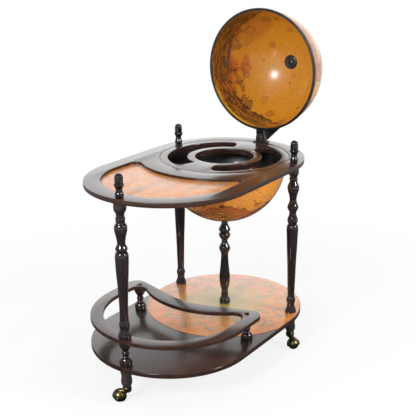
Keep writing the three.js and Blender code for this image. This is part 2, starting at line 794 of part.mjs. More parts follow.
function hingeArm() {
  const padTop = pivotX - bandRadius - seatGap;
  const pad = block(-padFront, padBack, -cheekOuter, cheekOuter, padBottom, padTop);
  const cheekY = (cheekInner + cheekOuter) / 2;
  const arm = armCheek().translate([0, cheekY, 0])
    .add(armCheek().translate([0, -cheekY, 0]))
    .add(pad)
    .add(armPlate())
    .subtract(crossRod(pinHole, 2 * cheekOuter + overrun, turnedSides));
  const radius = lidRadius + seatGap;
  const clearDome = alongX(revolved([[0, 0], [radius, 0], ...lidDome(radius)], globeSides));
  const clearBand = alongX(rod(bandRadius + seatGap, 0, bandHeight + seatGap, 0, 0, globeSides));
  return fromPin(arm).subtract(clearDome).subtract(clearBand).subtract(armScrewHoles(screwHole));
}

place(lid, "globe_lid", globeLid(), globeSkin);
place(lid, "lid_rim_band", lidBand(), glossBlack);
place(lid, "pole_cap_inner", poleCapInner(), brass);
place(lid, "pole_cap_outer", poleCapOuter(), brass);
place(lid, "hinge_arm", hingeArm(), blackMetal);
const armScrewRise = (armScrewY + screwHeadRadius) * Math.tan(Math.PI / globeSides);
const armScrewZ = lidWall - lidRadius + armScrewRise + seatGap;
for (const [side, y] of [["left", armScrewY], ["right", -armScrewY]]) {
  place(lid, `arm_screw_${side}`, screw(armScrewLength), brass, armScrewSetback, y, armScrewZ);
}

// Casters: a socket in the foot, and a hood that swivels on its stem and holds the ball's axle.
// In a caster's own frame the ball trails along +X.
const collarTop = footBottom - socketFlange - seatGap - swivelGap;

function casterSocket() {
  const flange = rod(socketFlangeRadius, -socketFlange - seatGap, -seatGap, 0, 0, turnedSides);
  return rod(socketRadius, -socketFlange - seatGap, socketDepth)
    .add(flange)
    .subtract(rod(stemRadius + stemClearance, -overrun, socketDepth + overrun));
}

function casterHood() {
  const atBall = (solid) => solid.translate([ballTrail, 0, ballRadius]);
  const collar = rod(collarRadius, collarTop - collarHeight, collarTop, 0, 0, turnedSides);
  const armTop = collarTop - hoodArmDrop;
  const arm = block(0, ballTrail, -hoodArmWidth / 2, hoodArmWidth / 2,
    armTop - hoodArmHeight, armTop);
  const reach = 2 * hoodOuter;
  const below = block(-reach, reach, -reach, reach, -reach, -hoodLow).rotate([0, -hoodTilt, 0]);
  return atBall(ball(hoodOuter, ballSides, ballRings).subtract(below))
    .add(collar)
    .add(arm)
    .subtract(atBall(ball(hoodInner, ballSides, ballRings)))
    .subtract(rod(stemRadius + seatGap, -overrun, collarTop + overrun))
    .subtract(atBall(crossRod(axleRadius + seatGap, reach)));
}

function casterBall() {
  return ball(ballRadius, ballSides, ballRings)
    .subtract(crossRod(axleRadius + axleClearance, 2 * ballRadius + overrun));
}

for (const [side, [x, y]] of Object.entries(legPlaces)) {
  const caster = new THREE.Group();
  caster.position.set(x, y, 0);
  caster.rotation.z = THREE.MathUtils.degToRad(casterAngles[side]);
  globeBar.add(caster);
  place(globeBar, `caster_socket_${side}`, casterSocket(), brass, x, y, footBottom);
  const stem = rod(stemRadius, collarTop - collarHeight / 2, footBottom + socketDepth - endClearance);
  place(caster, `caster_stem_${side}`, stem, steel);
  place(caster, `caster_hood_${side}`, casterHood(), brass);
  place(caster, `caster_axle_${side}`, crossRod(axleRadius, 2 * hoodOuter), steel,
    ballTrail, 0, ballRadius);
  place(caster, `caster_ball_${side}`, casterBall(), glossBlack, ballTrail, 0, ballRadius);
}

// The origin: the middle of the whole bar's box, on the floor
const box = new THREE.Box3().setFromObject(globeBar);
const middle = box.getCenter(new THREE.Vector3());
globeBar.position.set(-middle.x, -middle.y, -box.min.z);

export default globeBar;
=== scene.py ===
import json
import math

import bpy
from mathutils import Matrix, Vector
from mathutils.geometry import tessellate_polygon


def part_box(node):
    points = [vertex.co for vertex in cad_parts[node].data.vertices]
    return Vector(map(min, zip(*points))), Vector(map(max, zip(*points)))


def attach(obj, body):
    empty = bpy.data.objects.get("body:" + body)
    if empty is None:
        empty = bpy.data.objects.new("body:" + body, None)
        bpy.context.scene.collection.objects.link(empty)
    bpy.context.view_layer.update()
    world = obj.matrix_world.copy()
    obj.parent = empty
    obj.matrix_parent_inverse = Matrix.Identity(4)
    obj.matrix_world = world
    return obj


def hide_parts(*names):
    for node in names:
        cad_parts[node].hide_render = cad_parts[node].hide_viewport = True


MM = 0.001
QUARTER = math.pi / 2
TINY = 1e-6  # nearer points are one, and smaller radii are on the axis

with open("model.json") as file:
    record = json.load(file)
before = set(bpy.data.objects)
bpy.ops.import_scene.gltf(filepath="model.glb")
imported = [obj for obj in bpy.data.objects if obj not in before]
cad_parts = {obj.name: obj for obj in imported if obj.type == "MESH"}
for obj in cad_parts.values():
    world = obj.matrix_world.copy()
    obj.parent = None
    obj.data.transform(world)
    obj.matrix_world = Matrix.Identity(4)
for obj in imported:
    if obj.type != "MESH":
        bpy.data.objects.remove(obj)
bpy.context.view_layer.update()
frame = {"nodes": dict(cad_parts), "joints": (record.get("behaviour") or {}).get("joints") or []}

# Driving sizes that the frame's boxes don't give
TOP_EDGE = 1.0 * MM  # rounding of the shelves' upper edges
LOWER_EDGE = 2.4 * MM
UNDER_EDGE = 3.0 * MM
RAIL_EDGE = 1.2 * MM
SMALL_EDGE = 0.8 * MM
RECESS_MARGIN = 50.5 * MM
RECESS_CORNER = 22 * MM
RECESS_ARC = 274 * MM
RECESS_DEPTH = 9 * MM
FLANGE_SEAT = 12.1 * MM  # the step in the top shelf, on which the bowl's flange lies
STEP_RADIUS = 210.2 * MM
BOWL_HOLE = 201.5 * MM
RAIL_MARGIN = 1.5 * MM
RAIL_WIDTH = 40 * MM
RAIL_OUTER_ARC = 224 * MM
RAIL_INNER_ARC = 272 * MM
RAIL_HOLE_CORNER = 31 * MM
RAIL_LOBE = 36 * MM
RAIL_LOBE_SHIFT = 6 * MM  # from the post to the round end's centre, to the front
INSERT_RADIUS = 209 * MM
INSERT_RIM = 9 * MM  # its thickness outside the bowl
INSERT_DEEP_RADIUS = 193 * MM
WELL_RADIUS = 95.5 * MM
SLOT_INNER = 120.5 * MM
SLOT_OUTER = 184 * MM
SLOT_INNER_CORNER = 8 * MM
SLOT_OUTER_CORNER = 27 * MM
SLOT_HALF_ANGLE = math.radians(72)
WALL = 3.5 * MM
LID_WALL = 3 * MM
FLANGE = 2.5 * MM
INSERT_EDGE = 1.6 * MM
SEAT_GAP = 0.3 * MM
LOWER_PRINT_RADIUS = 265 * MM
LOWER_PRINT_MARGIN = 3 * MM
LID_COLLAR = 15 * MM
BAND_LIP = 2.7 * MM
BAND_HEIGHT = 10 * MM
BAND_DEPTH = 4.5 * MM
BAND_EDGE = 1.4 * MM
BAND_BEVEL = 0.4 * MM
KNUCKLE_RADIUS = 20 * MM
KNUCKLE_BACK = 8 * MM
KNUCKLE_WIDTH = 22 * MM
KNUCKLE_REACH = 13.99 * MM  # to its face under the closed arm
ARM_SLOPE = math.radians(50)
ARM_EDGE = 0.6 * MM
PLATE_THICKNESS = 2 * MM
PLATE_CORNER = 3 * MM
BALL_TRAIL = 24.5 * MM  # from a caster's swivel to its ball's axle
HOOD_INNER = 20 * MM
HOOD_WALL = 1.8 * MM
HOOD_LOW = 5 * MM
HOOD_TILT = math.radians(22)
NECK_WIDTH = 8 * MM  # half the width of the arm between a caster's collar and hood
NECK_FLARE = 0.8 * MM
NECK_HEIGHT = 6.5 * MM  # half its height
NECK_DROP = 13.5 * MM  # from the swivel's top to its middle
SIDES = ("front", "left", "right")

# Studio
CAMERA_PLACE = (-2.2708, -1.5266, 1.3749)
CAMERA_LENS = 76.831
VIEW_YAW = math.radians(34.288)  # the way that the camera looks, over the floor
VIEW_PITCH = math.radians(18.057)
VIEW_ROLL = -0.00775
FLOOR_RADIUS = 30
FLOOR_GLOW = 0.84  # the share of the floor near the bar that no shadow darkens
AMBIENT = 0.57  # the surroundings' light on matte surfaces
MIRRORED_DIM = 0.22
MIRRORED_BRIGHT = 1.6
SOFTBOXES = (  # name, place, what it faces, width and power
    ("left_softbox", (-2.8, -0.25, 1.9), (0.1, 0, 0.6), 0.6, 62),
    ("right_softbox", (0.2, -2.9, 1.9), (0.1, 0, 0.5), 0.6, 52),
    ("top_softbox", (-0.2, -0.2, 3.2), (0, 0, 0.4), 1.6, 9),
)

# Fineness of the round shapes
ARC_STEP = math.radians(3)
CURVE_STEPS = 3
EDGE_STEPS = 4
GLOBE_SIDES = 144
GLOBE_STEPS = 48
TURNED_SIDES = 56
BALL_SIDES = 48
BALL_STEPS = 36
HOOD_STEPS = 24
COLLAR_SIDES = 40
PIN_SIDES = 32
SCREW_SIDES = 28
AXLE_SIDES = 24
NECK_SIDES = 32
NECK_STEPS = 8
FLOOR_SIDES = 96
CREASE = 38  # degrees between two faces from which their edge stays sharp
TURNED_CREASE = 25
BAND_CREASE = 50
UPRIGHT = 0.75  # a face whose normal rises less is a board's edge


def box(node):
    """Lowest corner, highest corner and middle of a node's box."""
    low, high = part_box(node)
    return low, high, (low + high) / 2


TOP_LOW, TOP_HIGH, _ = box("top_shelf")
BOWL_LOW, BOWL_HIGH, GLOBE = box("globe_bowl")
END_RADIUS = (TOP_HIGH.y - TOP_LOW.y) / 2
FRONT_X = TOP_LOW.x + END_RADIUS  # centre of the shelves' front end


# Turned outlines: height in mm over the piece's foot, radius in mm. A point marked with a third
# value is a crease, where the curve starts again.
FINIAL = [
    (0, 11), (2, 12.1), (6, 12.7), (10, 12.3), (14, 10.8), (17.5, 9.7, 1), (21, 9.5), (25, 9.9),
    (29, 11.8), (32, 13.6), (34.6, 14.4), (37.4, 13.8), (40, 11.5, 1), (43, 12.1), (50, 12.3),
    (57, 12), (62, 10.8), (66, 7.4), (67.8, 3.4), (68.3, 0),
]
SIDE_LEG = [
    (0, 17.2), (2, 18.4), (6, 18.5), (10, 17.5), (16, 15), (22.5, 13), (27, 12.2, 1), (32, 12.6),
    (38, 13.6), (43.5, 14.9), (49, 14.6), (54, 13), (57, 11.6, 1), (64.5, 11.5), (106, 12.6),
    (170, 14.1), (232, 16.7), (263, 17.7), (285, 18.6), (297, 18.8), (303, 18), (307, 16.2),
    (310.5, 13.4, 1), (314, 14.6), (320, 16.5), (325, 16.9), (331, 15.8), (338, 13),
    (345, 11.2, 1), (350, 11.4), (357, 13.8), (363, 17), (368, 17.9), (373, 17), (380, 13.9),
    (387, 11.8), (393, 11.2), (402, 12), (411, 14), (421, 17), (430, 18.9), (437, 18.6),
    (444, 16.4), (450, 13.4), (454, 11.6, 1), (457, 12.6), (461, 13.2), (465, 12.9),
    (469, 11.9, 1), (472, 12.6), (476, 15.2), (479, 16.1), (484, 16.4), (502.9, 16.5),
]
FRONT_LEG = [
    (0, 18.4), (3, 19.4), (7, 19.7), (12, 19.2), (17, 17.6), (23, 14.6), (27.5, 13.2, 1),
    (32, 14), (38, 15.7), (44, 16.1), (49, 15.1), (54.5, 13.1, 1), (60, 13.1), (87, 12.9),
    (119, 13.5), (165.9, 15.7), (193.7, 17.7), (220.9, 19), (245, 19.7), (257, 19.6),
    (263, 18.6), (267, 16.4), (269.5, 14.2, 1), (272, 16), (276, 17.7), (280, 17.4), (285, 15.2),
    (291, 11.8, 1), (297, 11.9), (305, 13), (314.9, 14.6), (324, 16.9), (331, 18.4),
    (338, 18.9), (344, 18.5), (350, 16.4), (354, 13.6), (357, 12.8, 1), (361, 13.4),
    (366, 14), (370, 13.6), (374, 12.4), (378, 11.7, 1), (384, 13), (388.5, 15.6),
    (392, 17.6), (396, 18.4), (404, 18.6), (415.2, 18.6),
]
COLUMN = [
    (0, 17.6), (2, 18), (15.5, 17.9), (18, 16.8), (21.5, 13.7), (24.5, 12.4, 1), (29, 12.4),
    (35, 12), (41.5, 11.6), (46, 10.7, 1), (50, 11.2), (58, 13.6), (67.5, 15.8), (78, 17.4),
    (86.5, 18.1), (98, 17.9), (119.5, 16), (140, 13.8), (157.5, 12.6), (172, 11.8),
    (177.5, 11.8, 1), (182, 12.6), (187.5, 14.6), (194, 17.2), (200.5, 18.6), (206, 17.6),
    (212, 14.6), (219, 11), (223.5, 9.8), (229, 10.4), (234.5, 13.4), (240, 16.8),
    (246, 19.2), (249.5, 19.4), (252.5, 18), (255, 15.4), (257, 14.2, 1), (259, 15.6),
    (262.5, 18.6), (266, 19.6), (270, 18.6), (276, 15.4), (283, 12), (291, 10.2), (302.8, 10),
]
RAIL_POST = [
    (0, 17.8), (2, 18.8), (8, 19), (14, 18.8), (19, 17.4), (23.5, 14.4), (27, 10.8),
    (29.5, 9.2, 1), (32, 8.9, 1), (35, 10.6), (39, 11.8), (42, 11), (44.5, 9.2, 1), (48, 9.6),
    (52, 11.4), (57, 14.6), (62, 17.2), (66.5, 18.4), (72, 18.6), (75.4, 18.4),
]
FOOT = [
    (0, 11.8), (3, 12.6), (7, 14.4), (12, 16), (18, 16.8), (24, 16.5), (30, 15.5), (35.5, 15.1),
    (41, 15.6), (47, 17.2), (52, 18), (57.2, 18),
]
RAIL_CAP = [(0, 7.9), (0.6, 8), (1.4, 7.6), (2.4, 5.6), (3.2, 4.4), (3.7, 2.4), (3.8, 0)]

# Lathed outlines: radius in mm, height in mm over the place that the piece is built from
INNER_CAP = [
    (0, -7.1), (4.5, -7), (6.5, -6.2), (7.6, -5.2), (11, -4.9), (15, -5.6), (18, -6.4), (21, -6),
    (23.8, -4.4), (25, -2), (0, -0.5),
]
OUTER_CAP = [(0, 0.4), (25, -1.2), (24.2, 0.8), (21, 2.4), (16, 3), (11, 2.4), (6, 3.4), (0, 4.2)]
PIN_END = [(0, 0), (3, 0), (4.2, 0.7), (4.5, 1.6), (4.3, 2), (3, 2)]
AXLE_END = [(0, -1), (2, -0.8), (3.4, 0.4), (2.4, 1.2)]
SCREW_TIP = [(0, 0), (1.8, 0)]
SCREW_HEAD = [(1.8, -2), (3.6, -2), (3.6, -1.5), (3.1, -0.8), (2, -0.2), (0, 0)]
COLLAR = [
    (0, -14), (9, -14), (12.6, -12.6), (14, -10), (14, -7.6), (12.4, -6.6), (12.4, -5), (14, -4),
    (14, -1.2), (12.8, 0), (0, 0),
]
SOCKET_FLANGE = [(4.4, 0), (11.4, 0), (12, 0.6), (11.6, 1.2), (6.6, 1.2)]
SOCKET_TOP = [(6.6, 0), (4.4, 0)]

SUN_POINTS = 15  # of the round print's rings
NO_ISLES = 2  # more than the isles' noise reaches

# On the maps, each by its direction from the sphere's middle: tinted patches with the cosine where
# they begin, their colour and strength; shades in the dark band along the lid's rim with their
# cosine and colour; and small isles inside the lid with their size and colour
BOWL_PATCHES = (
    ((0.7, -0.5, -0.35), 0.82, "8e7a5c", 0.4), ((-0.88, -0.2, -0.42), 0.93, "a85426", 0.6),
)
LID_PATCHES = (
    ((0.466, 0.57, 0.677), 0.9, "b5651f", 0.6), ((0.3, 0.94, -0.12), 0.955, "c2501a", 0.75),
    ((0.655, 0.745, -0.12), 0.993, "b4481a", 0.55), ((0.66, 0.742, -0.01), 0.9955, "b4481a", 0.5),
    ((0.66, 0.743, 0.09), 0.998, "b4481a", 0.5),
)
LID_SHADES = (
    ((0.08, 0.6, 0.78), 0.9, "3a2812"), ((0.1, 0.99, 0.1), 0.95, "3a3c14"),
    ((0.2, 0.72, -0.66), 0.96, "33240f"),
)
LID_MARKS = (
    (0.897, 0.331, 0.292, 0.05, "b4511e"), (0.869, 0.494, 0.014, 0.022, "8a5a24"),
    (0.944, 0.32, -0.083, 0.014, "4f6a2c"), (0.941, -0.179, 0.287, 0.022, "a8461e"),
    (0.969, -0.076, -0.234, 0.034, "c8721e"), (0.93, -0.025, -0.367, 0.022, "3f5a2c"),
    (0.665, 0.349, -0.66, 0.06, "cc7c1e"), (0.582, -0.388, -0.714, 0.03, "9a4a20"),
    (0.479, 0.119, -0.87, 0.07, "b2481c"), (0.803, -0.073, 0.592, 0.05, "c0661e"),
    (0.548, 0.268, 0.792, 0.07, "a45a20"), (0.597, 0.095, 0.797, 0.05, "94421c"),
    (0.42, 0.643, 0.64, 0.1, "c87c1e"), (0.556, 0.598, 0.577, 0.08, "cc801e"),
    (0.33, 0.76, 0.56, 0.09, "a8561c"), (0.272, -0.226, -0.935, 0.08, "8a4a20"),
    (0.4, 0.87, -0.26, 0.12, "c8701c"), (0.55, 0.8, -0.2, 0.09, "cc7c1c"),
    (0.65, 0.71, -0.24, 0.05, "c2641c"), (0.31, 0.84, -0.42, 0.09, "c2601c"),
    (0.25, -0.92, 0.3, 0.3, "a8501e"), (0.5, -0.83, -0.25, 0.2, "8a6a28"),
    (0.15, -0.8, -0.58, 0.24, "b0581e"), (0.2, -0.6, 0.77, 0.22, "9a5a22"),
    (0.7, -0.68, 0.2, 0.13, "b4561e"), (0.1, -0.99, 0.0, 0.2, "6f6429"),
)


# Smooth lines and closed outlines
def smooth(points):
    """A line through the points, with soft curves between creases (points with a third value)."""
    line = [Vector(points[0][:2])]
    for i in range(len(points) - 1):
        a, b = Vector(points[i][:2]), Vector(points[i + 1][:2])
        starts = i == 0 or len(points[i]) > 2
        ends = i + 2 == len(points) or len(points[i + 1]) > 2
        before = 2 * a - b if starts else Vector(points[i - 1][:2])
        after = 2 * b - a if ends else Vector(points[i + 2][:2])
        slope_a = (b - before) / max(b.x - before.x, TINY) * (b.x - a.x)
        slope_b = (after - a) / max(after.x - a.x, TINY) * (b.x - a.x)
        for k in range(1, CURVE_STEPS + 1):
            t = k / CURVE_STEPS
            hermite = (
                (2 * t**3 - 3 * t**2 + 1) * a.y + (t**3 - 2 * t**2 + t) * slope_a.y
                + (3 * t**2 - 2 * t**3) * b.y + (t**3 - t**2) * slope_b.y
            )
            line.append(Vector((a.x + (b.x - a.x) * t, hermite)))
    return line


def arc(x, y, radius, start, end, step=ARC_STEP):
    count = max(3, math.ceil(abs(end - start) / step))
    angles = [start + (end - start) * i / count for i in range(count + 1)]
    return [Vector((x + radius * math.cos(a), y + radius * math.sin(a))) for a in angles]


def circle(radius, x, sides=GLOBE_SIDES):
    return arc(x, 0, radius, 0, 2 * math.pi, 2 * math.pi / sides)[:-1]


def without_doubles(outline):
    kept = []
    for point in outline:
        if not kept or (point - kept[-1]).length > TINY:
            kept.append(point)
    return kept[:-1] if (kept[0] - kept[-1]).length < TINY else kept


def shelf_outline():
    return without_doubles(
        arc(GLOBE.x, 0, END_RADIUS, -QUARTER, QUARTER)
        + arc(FRONT_X, 0, END_RADIUS, QUARTER, 3 * QUARTER)
    )


def front_end(margin, hollow, corner, x, turn, step):
    """The front end's outline, drawn in by a margin and hollowed by a circle round the globe.

    Its two corners are round about places at x, as far as the turn.
    """
    y = END_RADIUS - margin - corner
    return without_doubles(
        arc(FRONT_X, 0, END_RADIUS - margin, QUARTER, 3 * QUARTER)
        + arc(x, -y, corner, -QUARTER, turn, step)
        + arc(GLOBE.x, 0, hollow, math.pi + turn, math.pi - turn)
        + arc(x, y, corner, -turn, QUARTER, step)
    )


def leaf_outline(margin, hollow, corner):
    """The front end's outline with corners that touch both its straight and its hollow side."""
    y = END_RADIUS - margin - corner
    away = math.sqrt((hollow + corner) ** 2 - y**2)
    return front_end(margin, hollow, corner, GLOBE.x - away, math.atan2(y, away), 3 * ARC_STEP)


def rail_outline():
    """The rail's outline, with a round lobe about each side post."""
    x, y = box("rail_post_left")[2].x - RAIL_LOBE_SHIFT, END_RADIUS - RAIL_MARGIN - RAIL_LOBE
    lean = math.acos((RAIL_OUTER_ARC + RAIL_LOBE) / math.hypot(x - GLOBE.x, y))
    turn = math.pi - math.atan2(y, x - GLOBE.x) - lean
    return front_end(RAIL_MARGIN, RAIL_OUTER_ARC, RAIL_LOBE, x, turn, 2 * ARC_STEP)


def slot_outline(middle):
    """A curved slot of the ring insert, about its middle's angle."""
    inner_reach = SLOT_INNER + SLOT_INNER_CORNER
    outer_reach = SLOT_OUTER - SLOT_OUTER_CORNER
    inner = math.asin(SLOT_INNER_CORNER / inner_reach)
    outer = math.asin(SLOT_OUTER_CORNER / outer_reach)
    start, end = middle - SLOT_HALF_ANGLE, middle + SLOT_HALF_ANGLE

    def corner(reach, angle, size, low, high):
        x, y = GLOBE.x + reach * math.cos(angle), reach * math.sin(angle)
        return arc(x, y, size, low, high, 4 * ARC_STEP)

    return without_doubles(
        arc(GLOBE.x, 0, SLOT_OUTER, start + outer, end - outer)
        + corner(outer_reach, end - outer, SLOT_OUTER_CORNER, end - outer, end + QUARTER)
        + corner(inner_reach, end - inner, SLOT_INNER_CORNER, end + QUARTER, end - inner + math.pi)
        + arc(GLOBE.x, 0, SLOT_INNER, end - inner, start + inner)
        + corner(inner_reach, start + inner, SLOT_INNER_CORNER,
                 start + inner + math.pi, start + 3 * QUARTER)
        + corner(outer_reach, start + outer, SLOT_OUTER_CORNER, start - QUARTER, start + outer)
    )


def widened(outline, distance):
    """An outline moved sideways by a distance, to the right of its direction."""
    moved = []
    for i, point in enumerate(outline):
        along = (outline[(i + 1) % len(outline)] - outline[i - 1]).normalized()
        moved.append(point + Vector((along.y, -along.x)) * distance)
    return moved


# Meshes
class Surface:
    """Rings of points joined by walls and closed by flat caps; it becomes one smooth piece."""

    def __init__(self):
        self.points = []
        self.faces = []
        self.flat = []

    def ring(self, outline, height):
        first = len(self.points)
        self.points += [Vector((p.x, p.y, height)) for p in outline]
        return list(range(first, len(self.points)))

    def wall(self, rings):
        for low, high in zip(rings, rings[1:]):
            for i in range(len(low)):
                j = (i + 1) % len(low)
                corners = tuple(dict.fromkeys((low[i], low[j], high[j], high[i])))
                if len(corners) > 2:
                    self.faces.append(corners)

    def cap(self, rings, up=True):
        flat = [index for ring in rings for index in ring]
        loops = [[self.points[i] for i in ring] for ring in rings]
        for a, b, c in tessellate_polygon(loops):
            corners = [flat[a], flat[b], flat[c]]
            p, q, r = (self.points[i] for i in corners)
            if ((q - p).cross(r - p).z > 0) != up:
                corners.reverse()
            self.flat.append(len(self.faces))
            self.faces.append(tuple(corners))

    def edge(self, outline, height, up, out):
        """Rings of a quarter round: from a height up, and from inside the outline out to it."""
        rings = []
        for k in range(EDGE_STEPS + 1):
            turn = QUARTER * k / EDGE_STEPS
            inset = widened(outline, out * (math.sin(turn) - 1))
            rings.append(self.ring(inset, height + up * (1 - math.cos(turn))))
        return rings

    def rounded(self, outline, low, high, edge, inward=1, under=None):
        """A wall from low to high with both edges rounded; gives its lowest and highest ring."""
        under = edge if under is None else under
        rings = self.edge(outline, low, under, under * inward)
        rings += reversed(self.edge(outline, high, -edge, edge * inward))
        self.wall(rings[::inward])
        return rings[0], rings[-1]

    def sunk(self, outline, high, low):
        """A wall down into a hole, rounded at its upper edge; gives its highest and lowest ring."""
        rings = [*self.edge(outline, high, -SMALL_EDGE, -SMALL_EDGE), self.ring(outline, low)]
        self.wall(rings)
        return rings[0], rings[-1]

    def lathe(self, line, sides=TURNED_SIDES):
        """A revolved line of (radius, height) points round the upright axis."""
        rings = []
        for radius, height in line:
            if rings and (radius, height) == line[0]:
                rings.append(rings[0])
            elif radius < TINY:
                self.points.append(Vector((0, 0, height)))
                rings.append([len(self.points) - 1] * sides)
            else:
                rings.append(self.ring(circle(radius, 0, sides), height))
        self.wall(rings)

    def piece(self, name, finish, matrix=None, crease=CREASE):
        mesh = bpy.data.meshes.new(name)
        points = [matrix @ p for p in self.points] if matrix else self.points
        mesh.from_pydata([tuple(p) for p in points], [], self.faces)
        mesh.polygons.foreach_set("use_smooth", [True] * len(mesh.polygons))
        for face in self.flat:
            mesh.polygons[face].use_smooth = False
        mesh.set_sharp_from_angle(angle=math.radians(crease))
        mesh.materials.append(finish)
        piece = bpy.data.objects.new(name, mesh)
        bpy.context.scene.collection.objects.link(piece)
        return piece


def stand_for(piece, body, node):
    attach(piece, body)
    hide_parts(node)


def turned_line(outline, height):
    """A turned outline in metres, closed at both ends, stretched to a height."""
    line = [(p.y * MM, p.x * MM) for p in smooth(outline)]
    stretch = height / line[-1][1]
    line = [(max(radius, 0), z * stretch) for radius, z in line]
    return [(0, line[0][1]), *line] + ([(0, line[-1][1])] if line[-1][0] > 0 else [])


def turned(name, outline, node, finish):
    """A turned piece of the frame, as high as the node's box that it stands for."""
    low, high, middle = box(node)
    surface = Surface()
    surface.lathe(turned_line(outline, high.z - low.z))
    foot = Matrix.Translation((middle.x, middle.y, low.z))
    stand_for(surface.piece(name, finish, foot, TURNED_CREASE), "frame", node)


# Materials
def paint(code):
    """A colour from its hexadecimal code, as the shader's linear red, green, blue and alpha."""
    values = [int(code[i:i + 2], 16) / 255 for i in (0, 2, 4)]
    linear = [v / 12.92 if v <= 0.04045 else ((v + 0.055) / 1.055) ** 2.4 for v in values]
    return (*linear, 1.0)


def grey(level):
    return (level, level, level, 1.0)


class Value:
    """An output of a shader node. Arithmetic on it adds Math nodes to its tree."""

    def __init__(self, shading, socket):
        self.shading = shading
        self.socket = socket

    def __add__(self, other):
        return self.shading.math("ADD", self, other)

    def __sub__(self, other):
        return self.shading.math("SUBTRACT", self, other)

    def __rsub__(self, other):
        return self.shading.math("SUBTRACT", other, self)

    def __mul__(self, other):
        return self.shading.math("MULTIPLY", self, other)

    def __truediv__(self, other):
        return self.shading.math("DIVIDE", self, other)

    __radd__ = __add__
    __rmul__ = __mul__

    def size(self):
        return self.shading.math("ABSOLUTE", self)

    def wave(self, turns):
        """A sine of the value, from 0 to 1."""
        return self.shading.math("SINE", self * (2 * math.pi * turns)) * 0.5 + 0.5

    def rise(self, low, high):
        """0 below low, 1 above high and smooth between; falls instead where low is above high."""
        inputs = {"Value": self, "From Min": low, "From Max": high}
        return self.shading.node("MapRange", {"interpolation_type": "SMOOTHSTEP"}, inputs)

    def line(self, middle, half_width):
        """1 where the value is at the middle, and 0 from the half width on."""
        return (self - middle).size().rise(half_width, half_width * 0.4)


class Shading:
    """A tree of shader nodes, each made by one call."""

    def __init__(self, tree):
        self.tree = tree

    def feed(self, socket, value):
        if isinstance(value, Value):
            self.tree.links.new(value.socket, socket)
        elif value is not None:
            socket.default_value = value

    def node(self, kind, settings=None, inputs=None, output=0):
        """Any node: its settings first, then the values or links of its sockets."""
        node = self.tree.nodes.new("ShaderNode" + kind)
        for name, value in (settings or {}).items():
            setattr(node, name, value)
        for socket, value in (inputs or {}).items():
            self.feed(node.inputs[socket], value)
        return Value(self, node.outputs[output])

    def math(self, operation, first, second=None):
        return self.node("Math", {"operation": operation}, {0: first, 1: second})

    def vector(self, operation, first, second=None, output=0):
        inputs = {0: first, 1: second}
        return self.node("VectorMath", {"operation": operation}, inputs, output)

    def place(self, about=(0, 0, 0), stretch=(1, 1, 1)):
        """Where a point of the surface is, measured from a place and stretched, in metres."""
        moved = self.vector("SUBTRACT", self.node("TexCoord", output="Object"), tuple(about))
        return self.vector("MULTIPLY", moved, stretch)

    def towards(self, direction, way):
        """How far a direction agrees with a way, as the cosine of the angle between them."""
        return self.vector("DOT_PRODUCT", direction, tuple(Vector(way).normalized()), "Value")

    def noise(self, place, scale, detail, roughness=0.55, distortion=0.0):
        inputs = {"Vector": place, "Scale": scale, "Detail": detail, "Roughness": roughness,
                  "Distortion": distortion}
        return self.node("TexNoise", None, inputs)

    def blend(self, first, second, share):
        """The first colour turned into the second by a share from 0 to 1."""
        return self.node("Mix", {"data_type": "RGBA"}, {0: share, 6: first, 7: second}, 2)

    def layers(self, colour, *layers):
        """A colour under layers, each with its colour's code and its share from 0 to 1."""
        for code, share in layers:
            colour = self.blend(colour, paint(code), share)
        return colour

    def bump(self, height, depth):
        """A relief of that depth in metres where the height goes from 0 to 1."""
        return self.node("Bump", None, {"Height": height, "Distance": depth, "Strength": 1.0})

    def ray(self, kind):
        return self.node("LightPath", output=f"Is {kind} Ray")


class Finish(Shading):
    """A material: one Principled shader, with constants on its sockets and nodes that feed it."""

    def __init__(self, name, **constants):
        self.material = bpy.data.materials.new(name)
        self.material.use_nodes = True
        super().__init__(self.material.node_tree)
        self.made(**constants)

    def made(self, **inputs):
        """The material, once these sockets of its shader are set or linked."""
        for socket, value in inputs.items():
            shader = self.tree.nodes["Principled BSDF"]
            self.feed(shader.inputs[socket.replace("_", " ")], value)
        return self.material


def board_veneer(name, dark, light, gloss):
    """Red-brown veneer under clear lacquer: long fine grain along the shelves."""
    finish = Finish(name, IOR=1.25, Coat_Roughness=0.19, Coat_IOR=1.65)
    figure = finish.noise(finish.place(stretch=(1.2, 9, 9)), 3.0, 5, 0.6, 0.4)
    grain = finish.noise(finish.place(stretch=(5, 120, 120)), 2.4, 4, 0.6)
    pores = finish.noise(finish.place(stretch=(30, 900, 900)), 1.0, 2, 0.5).rise(0.6, 0.75)
    colour = finish.layers(
        paint(dark), (light, figure.rise(0.3, 0.7)), ("170c0a", grain.rise(0.5, 0.72) * 0.5),
        ("100807", pores * 0.35),
    )
    return finish.made(Base_Color=colour, Roughness=0.36 + figure * 0.12,
                       Coat_Weight=(1.06 - grain * 0.28 - pores * 0.12) * gloss,
                       Normal=finish.bump(grain * 0.6 - pores * 0.4, 0.00004))


def turned_lacquer(name, dark, light, coat_ior=1.7):
    """Near-black stained wood under thick gloss lacquer."""
    finish = Finish(name, IOR=1.12, Coat_Weight=1.0, Coat_Roughness=0.025, Coat_IOR=coat_ior)
    grain = finish.noise(finish.place(stretch=(70, 70, 5)), 2.0, 4, 0.6, 0.3)
    dust = finish.noise(finish.place(), 60, 3)
    colour = finish.layers(paint(dark), (light, grain.rise(0.42, 0.72)))
    return finish.made(Base_Color=colour, Roughness=0.4 + dust * 0.2,
                       Normal=finish.bump(grain, 0.00002))


